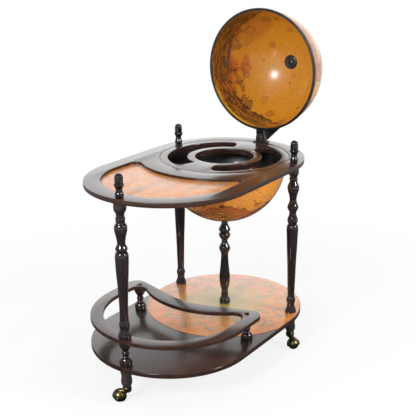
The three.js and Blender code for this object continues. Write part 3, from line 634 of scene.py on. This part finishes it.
def antique_metal(name, bright, dark, roughness=0.28, painted_shade_heights=None):
    """Brass gone dark in spots; given two heights, it darkens downwards between them as painted
    shade.
    """
    finish = Finish(name, Metallic=1.0)
    patina = finish.noise(finish.place(), 90, 5, 0.65)
    spots = finish.noise(finish.place(), 420, 3, 0.6)
    colour = finish.layers(paint(bright), (dark, patina.rise(0.38, 0.68)))
    if painted_shade_heights:
        # painted shade: the brass gets darker towards the bottom
        height = finish.towards(finish.place(), (0, 0, 1)) + (patina - 0.5) * 0.016
        colour = finish.layers(colour, (dark, height.rise(*painted_shade_heights)))
    colour = finish.layers(colour, (dark, spots.rise(0.62, 0.78) * 0.6))
    return finish.made(Base_Color=colour, Roughness=roughness + patina * 0.18,
                       Normal=finish.bump(spots, 0.00002))


def black_enamel(name, code, roughness, texture=0.00002):
    """Black paint with a faint mottle, under a thin coat."""
    finish = Finish(name, Coat_Weight=0.5, Coat_Roughness=0.15)
    mottle = finish.noise(finish.place(), 160, 4, 0.6)
    colour = finish.layers(paint(code), ("2a2a2e", mottle.rise(0.5, 0.8) * 0.35))
    return finish.made(Base_Color=colour, Roughness=roughness + mottle * 0.15,
                       Normal=finish.bump(mottle, texture))


def bowl_paint():
    """Glossy black paint inside the bowl."""
    finish = Finish("bowl_paint", Coat_Weight=0.8, Coat_Roughness=0.1)
    mottle = finish.noise(finish.place(), 40, 4)
    colour = finish.layers(paint("0b0a0b"), ("191516", mottle))
    return finish.made(Base_Color=colour, Roughness=0.35 + mottle * 0.15)


def plain_steel():
    finish = Finish("plain_steel", Metallic=1.0)
    wear = finish.noise(finish.place(stretch=(1, 1, 6)), 120, 4)
    colour = finish.layers(paint("77797c"), ("a6a8aa", wear.rise(0.35, 0.7)))
    return finish.made(Base_Color=colour, Roughness=0.3 + wear * 0.2)


def globe_paper(name, centre, sea, ground, bias, shore, isle, patches=(), coast=0.014, **coat):
    """An invented old map under varnish: an ochre sea, land with inked shores, small isles.

    Land gathers where a point's direction agrees with the bias, and begins at the height of the
    shore, where an inked line is twice as wide as the coast. Isles begin where another noise
    passes the isle's value. Each patch is a direction, the cosine where it begins, its colour and
    its strength.
    """
    finish = Finish(name, **({"Coat_Weight": 1.0, "Coat_Roughness": 0.11, "Coat_IOR": 1.5} | coat))
    direction = finish.vector("NORMALIZE", finish.place(about=centre))
    shape = finish.noise(direction, 2.1, 7, 0.66, 0.35)
    jagged = finish.noise(direction, 9, 5, 0.72)
    height = shape + jagged * 0.16 + finish.towards(direction, bias[0]) * bias[1] - 0.08
    land = height.rise(shore - 0.01, shore + 0.03)
    region = finish.noise(direction, 5.2, 4, 0.7)
    isles = finish.noise(direction, 5, 1, 0.5) + (jagged - 0.5) * 0.2
    mottle = finish.noise(direction, 26, 5, 0.7)
    ink = finish.noise(direction, 60, 3, 0.7)

    colour = finish.layers(
        paint(sea[0]), (sea[1], mottle.rise(0.38, 0.68)),
        ("9a5a24", ink.rise(0.56, 0.7) * mottle.rise(0.45, 0.6) * 0.5),
    )
    earth = finish.layers(paint(ground[0]), (ground[1], region.rise(0.42, 0.56)),
                          (ground[2], region.rise(0.56, 0.66)))
    colour = finish.blend(colour, earth, land * 0.85)
    for way, start, code, strength in patches:
        near = finish.towards(direction, way) + (region - 0.5) * (2.4 * (1 - start))
        colour = finish.layers(colour, (code, near.rise(start, (1 + start) / 2) * strength))
    colour = finish.layers(
        colour,
        ("b05a22", isles.rise(isle, isle + 0.03) * 0.75),
        ("33241c", isles.line(isle, 0.012) * 0.8),
        ("4a2c18", region.line(0.5, 0.012) * land * 0.6),
        ("2c1c18", ink.rise(0.6, 0.7) * land * 0.45),
        ("2a1c18", height.line(shore, coast) * 0.9),
    )
    return finish, colour, direction, mottle


def outer_map(*place_and_colours, **more):
    finish, colour, _, mottle = globe_paper(*place_and_colours, **more)
    return finish.made(Base_Color=colour, Roughness=0.32 + mottle * 0.15)


def lid_lining_paint():
    """The map inside the lid, with dark strokes along its rim, small isles and a painted reflection
    along its lower rim.
    """
    finish, colour, direction, mottle = globe_paper(
        "lid_lining", DOME, ("d6921c", "c88016"), ("b4561e", "8a5a24", "6f6429"),
        ((-0.55, 0.9, -0.1), 0.26), shore=0.66, isle=NO_ISLES, patches=LID_PATCHES,
        Coat_Weight=0.75, Coat_Roughness=0.21,
    )
    along = finish.towards(direction, (1, 0, 0))
    side = finish.towards(direction, (0, 1, -0.2))
    strokes = finish.noise(finish.vector("MULTIPLY", direction, (12, 3.5, 3.5)), 1.6, 4, 0.68, 0.8)
    ragged = finish.noise(direction, 7, 5, 0.72)
    reach = 0.36 - along + (ragged - 0.5) * 0.42 - (0.25 - side).rise(0, 0.8) * 0.45
    edge = reach.rise(-0.005, 0.012)
    # painted reflection: a bright yellow line along the lower rim, near its edge
    low = finish.towards(direction, (0.0, 0.62, -0.78)).rise(0.8, 0.95)
    colour = finish.layers(
        colour,
        ("d07a22", edge * 0.85),
        ("414818", edge * strokes.rise(0.5, 0.53) * 0.92),
        ("c04c1a", edge * strokes.rise(0.58, 0.61) * 0.88),
        ("17110c", edge * strokes.line(0.51, 0.028)),
        ("20170f", edge * strokes.line(0.43, 0.022) * 0.9),
        ("33231a", edge * ragged.line(0.56, 0.03) * 0.8),
        ("2a1c14", reach.line(0.01, 0.03) * side.rise(0.1, 0.4) * 0.85),
        # the painted reflection along the lower rim
        ("d8a81e", low * (0.03 - along).rise(0, 0.03) * 0.8),
    )
    for way, start, code in LID_SHADES:
        dark = finish.towards(direction, way) + (strokes - 0.5) * 0.5
        colour = finish.layers(colour, (code, dark.rise(start, start + 0.08) * edge * 0.8))
    torn = (finish.noise(direction, 34, 4, 0.7) - 0.5) * 3
    for x, y, z, size, code in LID_MARKS:
        away = finish.vector("DISTANCE", direction, (x, y, z), "Value")
        isle = 1 - away / size + torn
        near = away.rise(size * 2.2, size * 1.6)
        colour = finish.layers(colour, (code, isle.rise(0, 0.3) * near * 0.55),
                               ("35201a", isle.line(0, 0.16) * near * 0.7))
    return finish.made(Base_Color=colour, Roughness=0.4 + mottle * 0.15)


def sun_print():
    """The lower shelf's round print: rings of pointed shapes about a pale middle, on old paper."""
    finish = Finish("sun_print", Coat_Weight=1.0, Coat_Roughness=0.16, Coat_IOR=1.5)
    away = finish.place(about=(GLOBE.x, 0, 0))
    x, y = finish.towards(away, (1, 0, 0)), finish.towards(away, (0, 1, 0))
    radius = finish.math("SQRT", x * x + y * y) / END_RADIUS
    turn = finish.math("ARCTAN2", y, x)
    mottle = finish.noise(away, 26, 5, 0.7)
    fine = finish.noise(away, 90, 4, 0.7)
    wander = finish.noise(away, 9, 3, 0.6) - 0.5

    def zigzag(shift, low, high):
        """How far out a place is from a line with points all round between two radii."""
        teeth = turn * (SUN_POINTS / math.pi) + shift + wander * 1.5
        point = finish.math("PINGPONG", teeth, 1)
        return radius - (low + point * (high - low)) + wander * 0.16 + (fine - 0.5) * 0.03

    outer, inner, rays = zigzag(0, 0.69, 0.91), zigzag(0.5, 0.67, 0.86), zigzag(0.25, 0.4, 0.68)
    reach = radius + wander * 0.2
    worn = mottle.rise(0.36, 0.5)
    petals = rays.rise(0.006, -0.006) * radius.rise(0.38, 0.5)
    leaves = (outer * inner).rise(0.0002, -0.0004) * radius.rise(0.66, 0.69)
    colour = finish.layers(
        paint("dc8834"),
        ("d07628", mottle.rise(0.35, 0.7)),
        ("c89a48", reach.rise(0.7, 0.42) * 0.85),
        ("a0964a", reach.rise(0.5, 0.15) * 0.7),
        ("9c8a4a", petals * (turn * (SUN_POINTS / 2) / math.pi).wave(0.5) * 0.8),
        ("d0704a", petals * fine.rise(0.5, 0.62) * 0.5),
        ("a89a74", leaves * worn * 0.45),
        ("4a6050", outer.line(0, 0.013) * worn * 0.9),
        ("56683c", inner.line(0, 0.013) * worn * 0.85),
        ("8a6a50", rays.line(0, 0.013) * worn * 0.5),
        ("6a6a4c", fine.rise(0.6, 0.68) * leaves * 0.6),
    )
    return finish.made(Base_Color=colour, Roughness=0.36 + mottle * 0.15)


def chart_print():
    """The top panel's print: an invented old chart with soft clouds on orange paper."""
    finish = Finish("chart_print", Coat_Weight=0.78, Coat_Roughness=0.22, Coat_IOR=1.5)
    place = finish.place()
    shape = finish.noise(place, 7.5, 6, 0.65, 0.8)
    clouds = finish.noise(finish.place(stretch=(1, 2.2, 1)), 11, 5, 0.62, 0.5)
    mottle = finish.noise(place, 30, 5, 0.65)
    colour = finish.layers(
        paint("d88a30"),
        ("c27022", mottle.rise(0.35, 0.7)),
        ("b28a6c", clouds.rise(0.46, 0.62) * 0.7),
        ("8a7a74", clouds.rise(0.6, 0.7) * 0.5),
        ("b65a2c", shape.rise(0.58, 0.64) * 0.5),
        ("4a3a34", shape.line(0.58, 0.01) * mottle.rise(0.4, 0.5) * 0.6),
    )
    return finish.made(Base_Color=colour, Roughness=0.38 + mottle * 0.15)


# Places: the lid's pin, the middles of its rim and of its dome's sphere, and that of the bowl's
JOINTS = {joint["name"]: joint for joint in frame["joints"]}
PIN = Vector(JOINTS["lid_hinge"]["pos_m"])
BAND_LOW, BAND_TOP, BAND_MIDDLE = box("lid_rim_band")
RIM = Vector((BAND_LOW.x, 0, BAND_MIDDLE.z))
DOME = RIM + Vector((LID_COLLAR, 0, 0))
BOWL_CENTRE = Vector((GLOBE.x, 0, TOP_LOW.z))

veneer = board_veneer("board_veneer", "21140f", "39211a", 1.0)
edge_veneer = board_veneer("edge_veneer", "331f18", "3e261d", 0.4)
lacquer = turned_lacquer("turned_lacquer", "1c1415", "2e2325")
# The feet have the same lacquer as the legs; this lighter, greyer copy of it is a painted satin
# sheen.
foot_lacquer_painted_sheen = turned_lacquer("foot_lacquer_painted_sheen", "302a2a", "413736")
# The finials have the same lacquer as the legs; this darker copy of it is painted shade.
finial_lacquer_painted_shade = turned_lacquer("finial_lacquer_painted_shade", "070505", "130d0e", 1.6)
antique_brass = antique_metal("antique_brass", "8a7a48", "3c341e")
hinge_brass = antique_metal("hinge_brass", "cdb96c", "6f6238", 0.2)
# The hoods' lower parts are painted darker towards the bottom, as shade.
caster_brass = antique_metal("caster_brass", "938a62", "2c2820", 0.26, (0.029, 0.01))
ball_black = black_enamel("ball_black", "141414", 0.3)
hinge_black = black_enamel("hinge_black", "17161a", 0.38, 0.00005)
rim_black = black_enamel("rim_black", "12131b", 0.26)
bowl_black = bowl_paint()
steel = plain_steel()
sun_paper = sun_print()
chart_paper = chart_print()
bowl_map = outer_map(
    "bowl_map", BOWL_CENTRE, ("eb9c38", "e2882a"), ("ac4820", "8e3a1c", "bc5428"),
    ((-0.35, -0.3, -0.89), 0.9), shore=1.255, isle=0.645, coast=0.024, patches=BOWL_PATCHES,
)
lid_map = outer_map(
    "lid_map", DOME, ("e0983a", "d88c34"), ("c06a30", "a85a30", "8a6a3c"), ((0, -1, 0.3), 0.1),
    shore=0.56, isle=0.69,
)
lid_map_inside = lid_lining_paint()


# Boards and prints
def top_board():
    """The top shelf, with the globe's stepped opening and the print's recess."""
    surface = Surface()
    bottom, top = surface.rounded(shelf_outline(), TOP_LOW.z, TOP_HIGH.z, TOP_EDGE, 1, UNDER_EDGE)
    ledge = TOP_HIGH.z - FLANGE_SEAT
    leaf = leaf_outline(RECESS_MARGIN, RECESS_ARC, RECESS_CORNER)
    step = surface.sunk(circle(STEP_RADIUS, GLOBE.x), TOP_HIGH.z, ledge)
    hole = surface.sunk(circle(BOWL_HOLE, GLOBE.x), ledge, TOP_LOW.z)
    recess = surface.sunk(leaf, TOP_HIGH.z, TOP_HIGH.z - RECESS_DEPTH)
    surface.cap([top, step[0], recess[0]])
    surface.cap([step[1], hole[0]])
    surface.cap([recess[1]])
    surface.cap([bottom, hole[1]], up=False)
    return surface


def ring_insert():
    """A rim on the bowl's flange, and a deeper part inside it, with the well and two slots."""
    low, high, _ = box("ring_insert")
    seat = high.z - INSERT_RIM
    surface = Surface()
    openings = circle(WELL_RADIUS, GLOBE.x), slot_outline(QUARTER), slot_outline(-QUARTER)
    holes = [surface.rounded(hole, low.z, high.z, INSERT_EDGE, -1) for hole in openings]
    under, top = surface.rounded(circle(INSERT_RADIUS, GLOBE.x), seat, high.z, INSERT_EDGE)
    deep = [surface.ring(circle(INSERT_DEEP_RADIUS, GLOBE.x), z) for z in (low.z, seat)]
    surface.wall(deep)
    surface.cap([top, *(hole[1] for hole in holes)])
    surface.cap([under, deep[1]], up=False)
    surface.cap([deep[0], *(hole[0] for hole in holes)], up=False)
    return surface


def board(outline, low, high, edge, holes=()):
    """A flat board with rounded edges and open holes."""
    surface = Surface()
    bottom, top = surface.rounded(outline, low, high, edge)
    rings = [surface.rounded(hole, low, high, edge, -1) for hole in holes]
    surface.cap([top, *(ring[1] for ring in rings)])
    surface.cap([bottom, *(ring[0] for ring in rings)], up=False)
    return surface


def boxed_board(node, outline, edge, holes=()):
    """A board as thick as a node's box."""
    low, high, _ = box(node)
    return board(outline, low.z, high.z, edge, holes)


def lower_print_outline():
    """The round print, cut off by the shelf's own outline."""
    side = END_RADIUS - LOWER_PRINT_MARGIN
    lean = math.pi - math.asin(side / LOWER_PRINT_RADIUS)
    return without_doubles(
        arc(GLOBE.x, 0, side, -QUARTER, QUARTER)
        + arc(GLOBE.x, 0, LOWER_PRINT_RADIUS, lean, 2 * math.pi - lean)
    )


def second_finish(piece, finish, chosen):
    """Gives another finish to the faces that a test chooses."""
    piece.data.materials.append(finish)
    for face in piece.data.polygons:
        face.material_index = int(chosen(face))


def edged(surface, name):
    """A veneered board whose upright faces have the edge finish."""
    piece = surface.piece(name, veneer)
    second_finish(piece, edge_veneer, lambda face: abs(face.normal.z) < UPRIGHT)
    return piece


rail_hole = leaf_outline(RAIL_MARGIN + RAIL_WIDTH, RAIL_INNER_ARC, RAIL_HOLE_CORNER)
rail = boxed_board("bottle_rail", rail_outline(), RAIL_EDGE, [rail_hole])
lower_board = boxed_board("lower_shelf", shelf_outline(), LOWER_EDGE)
chart_outline = leaf_outline(RECESS_MARGIN + SEAT_GAP, RECESS_ARC + SEAT_GAP,
                             RECESS_CORNER - SEAT_GAP)
chart = boxed_board("top_map_panel", chart_outline, SEAT_GAP)
sun = boxed_board("lower_map_disc", lower_print_outline(), SEAT_GAP)

for piece, slot, node in (
    (edged(top_board(), "top_board"), "dark_wood", "top_shelf"),
    (lower_board.piece("lower_board", veneer), "dark_wood", "lower_shelf"),
    (ring_insert().piece("insert_board", veneer), "dark_wood", "ring_insert"),
    (edged(rail, "rail_board"), "dark_wood", "bottle_rail"),
    (chart.piece("top_chart", chart_paper), "top_print", "top_map_panel"),
    (sun.piece("lower_sun", sun_paper), "lower_print", "lower_map_disc"),
):
    stand_for(piece, "frame", node)

# Turned pieces
for side in SIDES:
    leg = FRONT_LEG if side == "front" else SIDE_LEG
    turned(f"turned_leg_{side}", leg, f"leg_{side}", lacquer)
    turned(f"turned_finial_{side}", FINIAL, f"finial_{side}", finial_lacquer_painted_shade)
    turned(f"turned_foot_{side}", FOOT, f"foot_{side}", foot_lacquer_painted_sheen)
    turned(f"turned_rail_post_{side}", RAIL_POST, f"rail_post_{side}", lacquer)
turned("turned_column", COLUMN, "column", lacquer)
for side in ("left", "right"):
    turned(f"brass_rail_cap_{side}", RAIL_CAP, f"rail_cap_{side}", antique_brass)


# Globe
def dome(radius, height, start=0.0, steps=GLOBE_STEPS):
    """Points round a sphere, from an angle over its middle up to its pole, as radius and height."""
    turns = [start + (QUARTER - start) * i / steps for i in range(steps + 1)]
    return [(radius * math.cos(t), height + radius * math.sin(t)) for t in turns]


def profile(points, base):
    """Points in mm over a place, as radius and height in metres."""
    return [(radius * MM, base + height * MM) for radius, height in points]


def two_ended(line):
    """A line and its mirror image across height 0."""
    return [*line, *((radius, -height) for radius, height in reversed(line))]


def lathed(name, line, finish, matrix, sides=TURNED_SIDES, crease=CREASE):
    surface = Surface()
    surface.lathe(line, sides)
    return surface.piece(name, finish, matrix, crease)


def lined(piece, lining, centre, radius):
    """Gives a shell's inner side, which is nearer to its centre than a radius, another finish."""
    second_finish(piece, lining, lambda face: (face.center - centre).length < radius)


bowl_radius = BOWL_CENTRE.z - BOWL_LOW.z
bowl_inner = bowl_radius - WALL
flange_radius = (BOWL_HIGH.x - BOWL_LOW.x) / 2
flange_low = BOWL_HIGH.z - FLANGE
bowl_line = [
    *reversed([(r, BOWL_CENTRE.z - z) for r, z in dome(bowl_radius, 0)]),
    (bowl_radius, flange_low), (flange_radius, flange_low),
    (flange_radius, BOWL_HIGH.z), (bowl_inner, BOWL_HIGH.z),
    *[(r, BOWL_CENTRE.z - z) for r, z in dome(bowl_inner, 0)],
]
axis = Matrix.Translation((GLOBE.x, 0, 0))
bowl = lathed("bowl_shell", bowl_line, bowl_map, axis, GLOBE_SIDES)
lined(bowl, bowl_black, BOWL_CENTRE, bowl_radius - WALL / 2)
stand_for(bowl, "frame", "globe_bowl")

floor_low, floor_high, _ = box("globe_floor")
floor_radius = math.sqrt(bowl_inner**2 - (BOWL_CENTRE.z - floor_low.z) ** 2) - SEAT_GAP
floor_line = [
    (0, floor_low.z), (floor_radius, floor_low.z), (floor_radius, floor_high.z - SMALL_EDGE),
    (floor_radius - SMALL_EDGE, floor_high.z), (0, floor_high.z),
]
bottle_floor = lathed("bottle_floor", floor_line, bowl_black, axis, GLOBE_SIDES)
stand_for(bottle_floor, "frame", "globe_floor")

lid_radius = BAND_TOP.z - RIM.z - BAND_DEPTH
lid_inner = lid_radius - LID_WALL
lid_low = BAND_LIP + SEAT_GAP
lid_line = [
    (lid_inner, lid_low), (lid_radius, lid_low), *dome(lid_radius, LID_COLLAR),
    *reversed(dome(lid_inner, LID_COLLAR)), (lid_inner, lid_low),
]
opened = Matrix.Translation(RIM) @ Matrix.Rotation(QUARTER, 4, "Y")
lid = lathed("lid_shell", lid_line, lid_map, opened, GLOBE_SIDES)
lined(lid, lid_map_inside, DOME, lid_radius - LID_WALL / 2)
stand_for(lid, "lid", "globe_lid")

band_radius = lid_radius + BAND_DEPTH
band_line = [
    (lid_inner, 0), (band_radius - BAND_EDGE, 0), (band_radius - BAND_BEVEL, BAND_BEVEL),
    (band_radius, BAND_EDGE), (band_radius, BAND_HEIGHT - BAND_EDGE),
    (band_radius - BAND_BEVEL, BAND_HEIGHT - BAND_BEVEL), (band_radius - BAND_EDGE, BAND_HEIGHT),
    (lid_radius + SEAT_GAP, BAND_HEIGHT), (lid_radius + SEAT_GAP, BAND_LIP),
    (lid_inner, BAND_LIP), (lid_inner, 0),
]
band = lathed("lid_band", band_line, rim_black, opened, GLOBE_SIDES, BAND_CREASE)
stand_for(band, "lid", "lid_rim_band")

for where, points, radius in (("inner", INNER_CAP, lid_inner), ("outer", OUTER_CAP, lid_radius)):
    boss = lathed(f"pole_boss_{where}", profile(points, radius + LID_COLLAR), ball_black, opened)
    stand_for(boss, "lid", f"pole_cap_{where}")


# Hinge
def cut_off(outline, way, reach):
    """What of an outline lies nearer than a reach along a way."""
    kept = []
    for i, point in enumerate(outline):
        after = outline[(i + 1) % len(outline)]
        here, there = point.dot(way) - reach, after.dot(way) - reach
        if here <= 0:
            kept.append(point)
        if (here < 0) != (there < 0):
            kept.append(point.lerp(after, here / (here - there)))
    return without_doubles(kept)


def round_cornered(low, high, corner):
    left, right, near, far = low.x + corner, high.x - corner, low.y + corner, high.y - corner
    outline = []
    for i, (x, y) in enumerate(((left, near), (right, near), (right, far), (left, far))):
        start = math.pi + i * QUARTER
        outline += arc(x, y, corner, start, start + QUARTER, 5 * ARC_STEP)
    return outline


across = Matrix.Translation(PIN) @ Matrix.Rotation(QUARTER, 4, "X")
knuckle_low = TOP_HIGH.z + SEAT_GAP - PIN.z
back_turn = math.acos(KNUCKLE_BACK / KNUCKLE_RADIUS)
knuckle_outline = cut_off(
    [Vector((-KNUCKLE_RADIUS, knuckle_low)), Vector((KNUCKLE_BACK, knuckle_low)),
     *arc(0, 0, KNUCKLE_RADIUS, back_turn, math.pi, 2 * ARC_STEP)],
    Vector((math.cos(ARM_SLOPE), math.sin(ARM_SLOPE))), KNUCKLE_REACH,
)
knuckle = board(knuckle_outline, -KNUCKLE_WIDTH / 2, KNUCKLE_WIDTH / 2, SMALL_EDGE)
stand_for(knuckle.piece("hinge_knuckle", hinge_black, across), "frame",
          "hinge_base")

base_low, base_high, _ = box("hinge_base")
plate = board(round_cornered(base_low, base_high, PLATE_CORNER), base_low.z,
              base_low.z + PLATE_THICKNESS, SMALL_EDGE)
stand_for(plate.piece("hinge_plate", hinge_black), "frame", "hinge_base")

pin_low, pin_high, _ = box("hinge_pin")
pin_line = two_ended(profile(PIN_END, (pin_low.y - pin_high.y) / 2))
pin = lathed("hinge_rod", pin_line, hinge_brass, across, PIN_SIDES)
stand_for(pin, "frame", "hinge_pin")

for node, body in (("hinge_screw_left", "frame"), ("hinge_screw_right", "frame"),
                   ("arm_screw_left", "lid"), ("arm_screw_right", "lid")):
    low, high, middle = box(node)
    screw_line = [*profile(SCREW_TIP, low.z), *profile(SCREW_HEAD, high.z)]
    place = Matrix.Translation((middle.x, middle.y, 0))
    head = lathed(f"{node}_head", screw_line, hinge_brass, place, SCREW_SIDES)
    stand_for(head, body, node)


# Casters
def neck():
    """The arm between a caster's collar and its hood, upright."""
    arm = Surface()
    turns = [2 * math.pi * k / NECK_SIDES for k in range(NECK_SIDES)]
    rings = []
    for i in range(NECK_STEPS + 1):
        share = i / NECK_STEPS
        wide = NECK_WIDTH + NECK_FLARE * math.cos(2 * math.pi * share)
        oval = [Vector((wide * math.cos(t), NECK_HEIGHT * math.sin(t))) for t in turns]
        rings.append(arm.ring(oval, share * BALL_TRAIL))
    arm.wall(rings)
    arm.cap([rings[-1]])
    arm.cap([rings[0]], up=False)
    return arm


hood_outer = HOOD_INNER + HOOD_WALL
hood_start = -math.asin(HOOD_LOW / HOOD_INNER)
hood_line = [
    (HOOD_INNER * math.cos(hood_start), -HOOD_LOW), *dome(hood_outer, 0, hood_start, HOOD_STEPS),
    *reversed(dome(HOOD_INNER, 0, hood_start, HOOD_STEPS)),
]
axle_line = two_ended(profile(AXLE_END, -hood_outer))


def caster(side):
    """One caster in its own frame: upright on its swivel, with the ball along +X."""
    swivel = Vector(JOINTS[f"swivel_{side}"]["pos_m"])
    hub = Vector(JOINTS[f"roll_{side}"]["pos_m"])
    trail = hub - swivel
    own = (Matrix.Translation((swivel.x, swivel.y, 0))
           @ Matrix.Rotation(math.atan2(trail.y, trail.x), 4, "Z"))
    at_ball = own @ Matrix.Translation((BALL_TRAIL, 0, hub.z))
    sideways = at_ball @ Matrix.Rotation(QUARTER, 4, "X")
    tilted = at_ball @ Matrix.Rotation(-HOOD_TILT, 4, "Y")
    along = (own @ Matrix.Translation((0, 0, swivel.z - NECK_DROP))
             @ Matrix.Rotation(QUARTER, 4, "Y") @ Matrix.Rotation(QUARTER, 4, "Z"))

    ball_line = dome(hub.z, 0, -QUARTER, BALL_STEPS)
    ball = lathed(f"ball_{side}_wheel", ball_line, ball_black, sideways, BALL_SIDES)
    stand_for(ball, f"ball_{side}", f"caster_ball_{side}")

    collar_line = profile(COLLAR, swivel.z)
    for piece in (
        lathed(f"hood_{side}", hood_line, caster_brass, tilted, BALL_SIDES),
        lathed(f"collar_{side}", collar_line, caster_brass, own, COLLAR_SIDES),
        neck().piece(f"neck_{side}", caster_brass, along),
    ):
        stand_for(piece, f"caster_{side}", f"caster_hood_{side}")

    axle = lathed(f"axle_{side}", axle_line, steel, sideways, AXLE_SIDES)
    stand_for(axle, f"caster_{side}", f"caster_axle_{side}")

    low, high, middle = box(f"caster_socket_{side}")
    flange = profile(SOCKET_FLANGE, low.z)
    socket_line = [*flange, *profile(SOCKET_TOP, high.z), flange[0]]
    place = Matrix.Translation((middle.x, middle.y, 0))
    socket = lathed(f"socket_{side}", socket_line, caster_brass, place, COLLAR_SIDES)
    stand_for(socket, "frame", f"caster_socket_{side}")


for side in SIDES:
    caster(side)

# The CAD's own pieces that stay: inside, or hardly in view
KEPT = {steel: ("stud", "bolt", "stem", "rod"), hinge_black: ("hinge_arm",)}
for name, node in frame["nodes"].items():
    for finish, words in KEPT.items():
        if any(word in name for word in words):
            node.data.materials.clear()
            node.data.materials.append(finish)
arm_edges = frame["nodes"]["hinge_arm"].modifiers.new("soft_edges", "BEVEL")
arm_edges.width = ARM_EDGE
arm_edges.segments = 2
arm_edges.limit_method = "ANGLE"


# Camera
def look_along(yaw, pitch, roll):
    ahead = Vector((math.cos(yaw) * math.cos(pitch), math.sin(yaw) * math.cos(pitch),
                    -math.sin(pitch)))
    right = Vector((math.sin(yaw), -math.cos(yaw), 0))
    up = right.cross(ahead)
    x = right * math.cos(roll) + up * math.sin(roll)
    y = up * math.cos(roll) - right * math.sin(roll)
    return Matrix((x, y, -ahead)).transposed().to_4x4()


camera = bpy.data.objects.new("camera", bpy.data.cameras.new("camera"))
camera.data.lens = CAMERA_LENS
camera.matrix_world = (Matrix.Translation(CAMERA_PLACE)
                       @ look_along(VIEW_YAW, VIEW_PITCH, VIEW_ROLL))
bpy.context.scene.collection.objects.link(camera)
bpy.context.scene.camera = camera


# Studio: a white floor and surroundings, with lamps in front, at the right and above
def softbox(name, place, aim, width, power):
    lamp = bpy.data.lights.new(name, "AREA")
    lamp.shape = "RECTANGLE"
    lamp.size, lamp.size_y, lamp.energy = width, width, power
    lamp_object = bpy.data.objects.new(name, lamp)
    lamp_object.location = place
    lamp_object.rotation_euler = (Vector(aim) - Vector(place)).to_track_quat("-Z", "Y").to_euler()
    bpy.context.scene.collection.objects.link(lamp_object)


def studio_floor():
    """A white floor with a faint shadow; near the bar, what it lends to reflections is dim."""
    white = Finish("studio_floor")
    away = white.vector("LENGTH", white.place(stretch=(1, 1, 0)), output="Value")
    seen = white.ray("Camera") + white.ray("Transmission")
    mirrored = white.ray("Glossy")
    share = seen * (FLOOR_GLOW + away.rise(0.5, 1.6) * (1 - FLOOR_GLOW)) + mirrored
    lent = white.blend(grey(0.07), grey(0.8), away.rise(0.5, 4))
    tone = white.blend(grey(1), lent, mirrored)
    matte = white.node("BsdfDiffuse", None, {"Color": grey(0.82)})
    glow = white.node("Emission", None, {"Color": tone, "Strength": 1.0})
    mixed = white.node("MixShader", None, {0: share, 1: matte, 2: glow})
    white.feed(white.tree.nodes["Material Output"].inputs["Surface"], mixed)
    surface = Surface()
    surface.cap([surface.ring(circle(FLOOR_RADIUS, 0, FLOOR_SIDES), 0)])
    surface.piece("studio_floor", white.material)


def surroundings():
    """A white world. What the pieces mirror is bright low behind the bar and dim elsewhere."""
    world = bpy.data.worlds.new("surroundings")
    world.use_nodes = True
    sky = Shading(world.node_tree)
    way = sky.node("TexCoord", output="Generated")
    behind = sky.towards(way, (math.cos(VIEW_YAW), math.sin(VIEW_YAW), 0)).rise(0.2, 0.8)
    low = sky.towards(way, (0, 0, 1)).rise(0.8, 0.4)
    mirrored = MIRRORED_DIM + behind * low * (MIRRORED_BRIGHT - MIRRORED_DIM)
    seen = sky.ray("Camera") + sky.ray("Transmission")
    level = AMBIENT + seen * (1 - AMBIENT) + sky.ray("Glossy") * (mirrored - AMBIENT)
    background = sky.tree.nodes["Background"]
    sky.feed(background.inputs["Strength"], level)
    sky.feed(background.inputs["Color"], grey(1))
    bpy.context.scene.world = world


studio_floor()
surroundings()
for lamp in SOFTBOXES:
    softbox(*lamp)

bpy.context.scene.view_settings.view_transform = "Standard"
